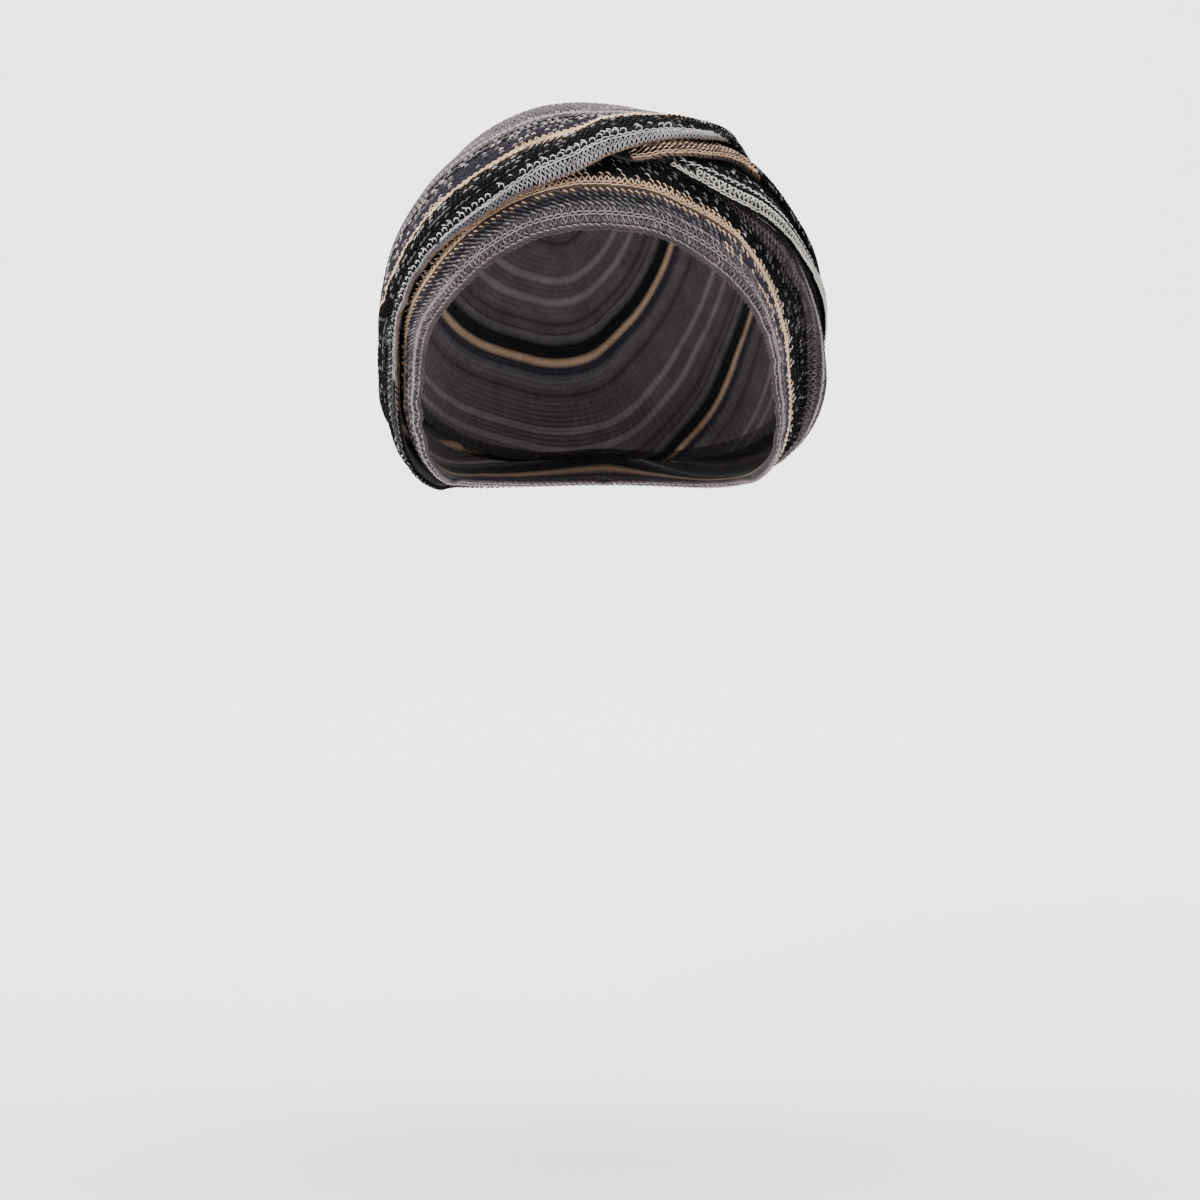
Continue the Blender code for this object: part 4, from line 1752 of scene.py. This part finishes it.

# The turns, in degrees, where the wrap's rows change their yarn or stitch. Towards the left side
# the lilac lattices and the white and pale accents give way to darker yarns as painted shade,
# where the light grazes the side.
LILAC_END = 50.0
LILAC_START = -48.0
HOOK_END = 26.0
HOOK_SHADE_END = -64.0
SIDE_TURN = -74.0
EDGE_TURN = -78.0
WRAP_ROWS = (
    Row(-0.1, BLACK, PLAIN, end_turn=EDGE_TURN - 4),
    Row(-0.1, RUST, PLAIN, None, 0, EDGE_TURN - 4, LILAC_END + 12, 0.8),
    Row(-0.1, BLACK, PLAIN, start_turn=LILAC_END + 12),
    # The smoke lattices on the left are the lilac rows in painted shade, where the mesh lies
    # shadowed below the chain.
    Row(0.6, SMOKE, LATTICE, None, 0, -181, LILAC_START + 26, 0.7, 0.7),
    Row(0.6, LILAC, LATTICE, None, 0, LILAC_START + 26, LILAC_END + 8, 0.75, 0.7),
    Row(0.6, BLACK, RISE, start_turn=LILAC_END + 8),
    Row(1.4, SMOKE, LATTICE, None, 0, -181, LILAC_START + 20, 0.7, 0.7),
    Row(1.4, LILAC, LATTICE, None, 0, LILAC_START + 20, LILAC_END + 5, 0.75, 0.7),
    Row(1.4, BLACK, RISE, SMOKE, 0.3, LILAC_END + 5),
    Row(2.2, SMOKE, LATTICE, None, 0, -181, LILAC_START + 12, 0.7, 0.7),
    Row(2.2, LILAC, LATTICE, PALE_LILAC, 0.5, LILAC_START + 12, LILAC_END, 0.75, 0.7),
    Row(2.2, BLACK, RISE, start_turn=LILAC_END),
    Row(3.0, BLACK, RISE, end_turn=EDGE_TURN),
    Row(3.0, LILAC, CHAIN, None, 0, EDGE_TURN, LILAC_START, 0.7),
    Row(3.0, PALE_LILAC, CHAIN, None, 0, LILAC_START, LILAC_END - 4, 0.85),
    Row(3.0, BLACK, RISE, SMOKE, 0.4, LILAC_END - 4),
    # Left of the hook turn the white and pale accents are lilac or smoke: painted shade on the
    # side that the light grazes.
    Row(4.0, BLACK, SLANT, LILAC, 0.8, -181, SIDE_TURN, 0.6, 1.35),
    Row(4.0, BLACK, HOOK, LILAC, 0.8, SIDE_TURN, HOOK_SHADE_END, 0.6, 1.3),
    Row(4.0, BLACK, HOOK, WHITE, 0.9, HOOK_SHADE_END, HOOK_END, 0.65, 1.15),
    Row(4.0, BLACK, SLANT, LILAC, 0.5, HOOK_END, LILAC_END, 0.7),
    Row(4.0, BLACK, RISE, SMOKE, 0.3, LILAC_END),
    Row(5.0, BLACK, RISE, end_turn=SIDE_TURN),
    Row(5.0, BLACK, SLANT, LILAC, 0.4, SIDE_TURN, HOOK_SHADE_END, 0.6),
    Row(5.0, BLACK, SLANT, WHITE, 0.4, HOOK_SHADE_END, HOOK_END, 0.6),
    Row(5.0, BLACK, SLANT, SMOKE, 0.4, HOOK_END),
    Row(6.0, BLACK, RISE, SMOKE, 0.6, -181, SIDE_TURN, 0.6, 1.35),
    Row(6.0, BLACK, RISE, SMOKE, 0.4, SIDE_TURN, 181, 0.8),
    Row(7.0, BLACK, RISE, SMOKE, 0.2),
    Row(8.0, BLACK, RISE, SMOKE, 0.2, end_turn=HOOK_SHADE_END),
    Row(8.0, BLACK, RISE, LILAC, 0.4, HOOK_SHADE_END, 181, 0.65),
    Row(9.0, BLACK, SLANT, SMOKE, 0.2, end_turn=HOOK_SHADE_END),
    Row(9.0, BLACK, RISE, PALE_LILAC, 0.4, HOOK_SHADE_END, 181, 0.65),
    Row(9.9, BLACK, RISE, SMOKE, 0.3, end_turn=HOOK_SHADE_END, thickness=0.8),
    Row(9.9, BLACK, RISE, CREAM, 0.5, HOOK_SHADE_END, -22, 0.7),
    Row(9.9, CREAM, RISE, TAN, 0.4, start_turn=-22, thickness=0.75),
    Row(10.6, TAN, CHAIN, thickness=0.85),
    Row(11.4, NAVY, RISE, TAN, 0.35, end_turn=-26, thickness=0.8),
    Row(11.4, TAN, LATTICE, RUST, 0.3, start_turn=-26, thickness=0.8),
    Row(12.2, NAVY, RISE, PALE_MAUVE, 0.4, thickness=0.8),
    Row(13.1, NAVY, RISE, CREAM, 0.25, thickness=0.7),
    Row(14.0, NAVY, RISE, SMOKE, 0.6),
    Row(14.9, NAVY, RISE, LILAC, 0.5, thickness=0.7),
    Row(15.8, BLACK, RISE, CREAM, 0.35, thickness=0.65),
    Row(16.7, SMOKE, RISE, PALE_MAUVE, 0.5, thickness=0.8),
    Row(17.6, BLACK, RISE, LILAC, 0.5, thickness=0.7),
    Row(18.5, SMOKE, RISE, MAUVE, 0.6),
    Row(19.4, BROWN_MAUVE, LATTICE, PALE_MAUVE, 0.6),
    Row(20.3, PALE_MAUVE, CHAIN, thickness=0.85),
    Row(21.3, MAUVE, LATTICE, PALE_MAUVE, 0.5),
    Row(22.3, MAUVE, LATTICE),
    Row(23.3, MAUVE, LATTICE, PALE_MAUVE, 0.3),
    Row(24.3, MAUVE, LATTICE),
    Row(25.3, PALE_MAUVE, CHAIN, thickness=0.85),
    Row(26.3, MAUVE, LATTICE),
    Row(27.3, SMOKE, RISE, MAUVE, 0.5),
    Row(28.3, SMOKE, RISE),
)

WRAP_MARKED = (0.0, 3.0, 10.6)
WRAP_MARKS = (
    Marks(-180.0, (-0.8, -0.5, 10.0)),
    Marks(-110.0, (-0.8, -0.5, 15.0)),
    Marks(-86.0, (-0.8, -0.5, 17.5)),
    Marks(-79.0, (-0.6, -0.2, 16.5)),
    Marks(-74.0, (-0.6, -0.1, 11.0)),
    Marks(-69.0, (-0.6, 0.0, 6.4)),
    Marks(-57.0, (-0.6, 0.2, 6.4)),
    Marks(-45.0, (-0.7, 0.6, 8.2)),
    Marks(-32.0, (-1.0, 1.1, 8.9)),
    Marks(-18.0, (-1.2, 2.4, 9.7)),
    Marks(0.0, (-1.2, 2.2, 9.8)),
    Marks(15.0, (-1.2, 1.4, 9.0)),
    Marks(38.0, (-1.2, 0.5, 8.4)),
    Marks(60.0, (-1.2, 0.2, 8.0)),
    Marks(180.0, (-1.2, -1.0, 9.0)),
)

RIGHT_PLEAT_ROWS = (
    # The black row on the fold's underside is painted shade below the sage fold line.
    Row(-0.5, BLACK, PLAIN),
    Row(0.25, SAGE, CHAIN, thickness=0.75),
    Row(1.0, BLACK, LATTICE, SAGE, 1.0, thickness=0.75, gauge=0.9),
    Row(2.0, BLACK, SLANT, SMOKE, 0.5, end_turn=31),
    Row(2.0, SAGE, LOOP, start_turn=31, thickness=0.95, gauge=1.15),
    Row(3.3, BLACK, SLANT, SMOKE, 0.5, end_turn=26),
    Row(2.7, BLACK, SLANT, start_turn=31, thickness=0.9),
    Row(3.3, WHITE, VEE, start_turn=26, end_turn=84, thickness=0.5, gauge=1.3),
    Row(3.3, BLACK, VEE, WHITE, 0.7, 84, 181, 0.7, 1.15),
    Row(4.3, BLACK, SLANT, SMOKE, 0.3),
    Row(5.2, BLACK),
    Row(6.1, BLACK, SLANT, SMOKE, 0.4),
    Row(7.1, BLACK, SLANT, WHITE, 0.2, thickness=0.7),
    Row(8.1, BLACK, SLANT, SMOKE, 0.4),
    Row(9.1, BLACK),
    Row(10.1, BLACK),
    Row(11.1, BLACK, SLANT, SMOKE, 0.3),
    Row(12.1, BLACK),
    Row(13.1, BLACK, SLANT, SMOKE, 0.4),
    Row(14.1, BLACK),
    Row(15.1, SMOKE, SLANT, BLACK, 0.5),
)

RIGHT_PLEAT_MARKED = (0.0, 2.0, 3.3)
RIGHT_PLEAT_MARKS = (
    Marks(20.0, (-0.5, 0.7, 1.3)),
    Marks(29.0, (-0.5, 0.9, 1.8)),
    Marks(36.0, (-0.3, 1.5, 3.2)),
    Marks(46.0, (-0.2, 1.8, 4.2)),
    Marks(52.0, (-0.1, 2.0, 4.6)),
    Marks(64.0, (-0.1, 2.0, 4.7)),
    Marks(72.0, (-0.2, 1.6, 3.5)),
    Marks(80.0, (-0.3, 1.4, 2.6)),
    Marks(160.0, (-0.3, 1.6, 2.8)),
)

TAN_END = 60.0
CENTRE_PLEAT_ROWS = (
    Row(-0.5, RUST, PLAIN, end_turn=TAN_END + 8),
    Row(-0.5, BLACK, PLAIN, start_turn=TAN_END + 8),
    Row(0.2, TAN, CHAIN, end_turn=TAN_END + 6, thickness=0.7),
    Row(0.2, BLACK, SLANT, SMOKE, 0.4, TAN_END + 6),
    Row(1.0, RUST, RISE, TAN, 0.8, -181, TAN_END + 4, 0.75, 0.9),
    Row(1.0, BLACK, SLANT, SMOKE, 0.4, TAN_END + 4),
    Row(1.8, RUST, RISE, TAN, 0.7, -181, TAN_END + 2, 0.75, 0.9),
    Row(1.8, BLACK, SLANT, SMOKE, 0.3, TAN_END + 2),
    Row(2.6, RUST, RISE, TAN, 0.7, -181, TAN_END, 0.75, 0.9),
    Row(2.6, BLACK, SLANT, SMOKE, 0.4, TAN_END),
    Row(3.5, RUST, RISE, TAN, 0.6, end_turn=TAN_END - 3, thickness=0.75),
    Row(3.5, BLACK, SLANT, SMOKE, 0.3, TAN_END - 3),
    Row(4.5, RUST, RISE, TAN, 0.4, end_turn=TAN_END - 6, thickness=0.75),
    Row(4.5, BLACK, SLANT, start_turn=TAN_END - 6),
    Row(5.5, BLACK, SLANT, SMOKE, 0.3),
    Row(6.5, BLACK, SLANT, WHITE, 0.15, thickness=0.7),
    Row(7.5, BLACK),
    Row(8.5, BLACK, SLANT, SMOKE, 0.3),
    Row(9.5, BLACK),
)

# The yarn's own order of colours, and how many rows of it come before the wrap's edge.
CROWN_LEAD = 37
MAUVE_ROW = (MAUVE, LATTICE, None, 0.0)
FLECKED_ROW = (MAUVE, LATTICE, PALE_MAUVE, 0.3)
BROWN_ROW = (BROWN_MAUVE, RISE, MAUVE, 0.5)
PALE_CHAIN = (PALE_MAUVE, CHAIN, None, 0.0)
CROWN_CYCLE = (
    BROWN_ROW, MAUVE_ROW, BROWN_ROW, MAUVE_ROW, MAUVE_ROW, MAUVE_ROW, PALE_CHAIN,
    (MAUVE, LATTICE, SMOKE, 0.5),
    FLECKED_ROW, FLECKED_ROW, PALE_CHAIN, FLECKED_ROW, FLECKED_ROW, MAUVE_ROW,
    FLECKED_ROW, MAUVE_ROW,
    (MAUVE, CHAIN, None, 0.0),
    (BROWN_MAUVE, LATTICE, MAUVE, 0.5),
    MAUVE_ROW,
    (SMOKE, RISE, MAUVE, 0.6),
    (SMOKE, RISE, PALE_LILAC, 0.4),
    (NAVY, RISE, SMOKE, 0.4),
    (NAVY, RISE, TAN, 0.6),
    (TAN, CHAIN, None, 0.0),
    (BLACK, RISE, WHITE, 0.5),
    (BLACK, RISE, WHITE, 0.15),
    (BLACK, RISE, SMOKE, 0.4),
    (SMOKE, RISE, MAUVE, 0.5),
)


def crown_rows(rounds: int) -> tuple[Row, ...]:
    """The crown's rows, which repeat the yarn's own order of colours.

    Args:
        rounds: How many rows lie between the wrap's edge and the pole.

    Returns:
        The rows.
    """
    rows = []
    for number in range(-CROWN_LEAD, rounds - 1):
        yarn, stitch, accent, share = CROWN_CYCLE[(number + CROWN_LEAD) % len(CROWN_CYCLE)]
        rows.append(Row(number + 0.5, yarn, stitch, accent, share))
    return tuple(rows)


def layers() -> list[Layer]:
    """All the layers, from the lowest to the top one.

    Returns:
        The layers, not laid yet.
    """
    wraps = ("right_pleat", "centre_pleat", "left_wrap")
    return [
        Crown(
            "crown", "crown", "crown_knit", crown_rows(CROWN_ROUNDS), ("brow_band", *wraps),
            "stretched", (), lowest=0.0,
        ),
        Layer(
            "band", "brow_band", "band_crochet", BAND_ROWS, wraps, "stretched", ("crown",),
            BAND_SECTIONS, True, BAND_MARKED, BAND_MARKS, margin=BAND_MARGIN,
        ),
        Layer(
            "right_pleat", "right_pleat", "pleat_crochet", RIGHT_PLEAT_ROWS, wraps[1:], "folded",
            ("brow_band",), RIGHT_PLEAT_SECTIONS, False, RIGHT_PLEAT_MARKED, RIGHT_PLEAT_MARKS,
        ),
        Layer(
            "centre_pleat", "centre_pleat", "pleat_crochet", CENTRE_PLEAT_ROWS, wraps[2:],
            "folded", ("right_pleat",), CENTRE_PLEAT_SECTIONS, False,
        ),
        Layer(
            "left_wrap", "left_wrap", "wrap_crochet", WRAP_ROWS, (), "gathered",
            ("brow_band", "crown"), LEFT_WRAP_SECTIONS, True, WRAP_MARKED, WRAP_MARKS,
        ),
    ]


def main() -> None:
    """Builds every layer, the hem and the studio."""
    logging.basicConfig(level=logging.INFO, format="%(name)s: %(message)s")
    chance = np.random.default_rng(SEED)
    finishes = {yarn: YarnFinish(yarn).material() for yarn in Yarn}
    hood = Hood()
    for layer in layers():
        layer.lay(hood)
        layer.weave()
        layer.work(finishes, chance)
        if layer.name == "band":
            Hem(layer).work(finishes, chance)
    Studio().build()


if __name__ == "__main__":
    main()
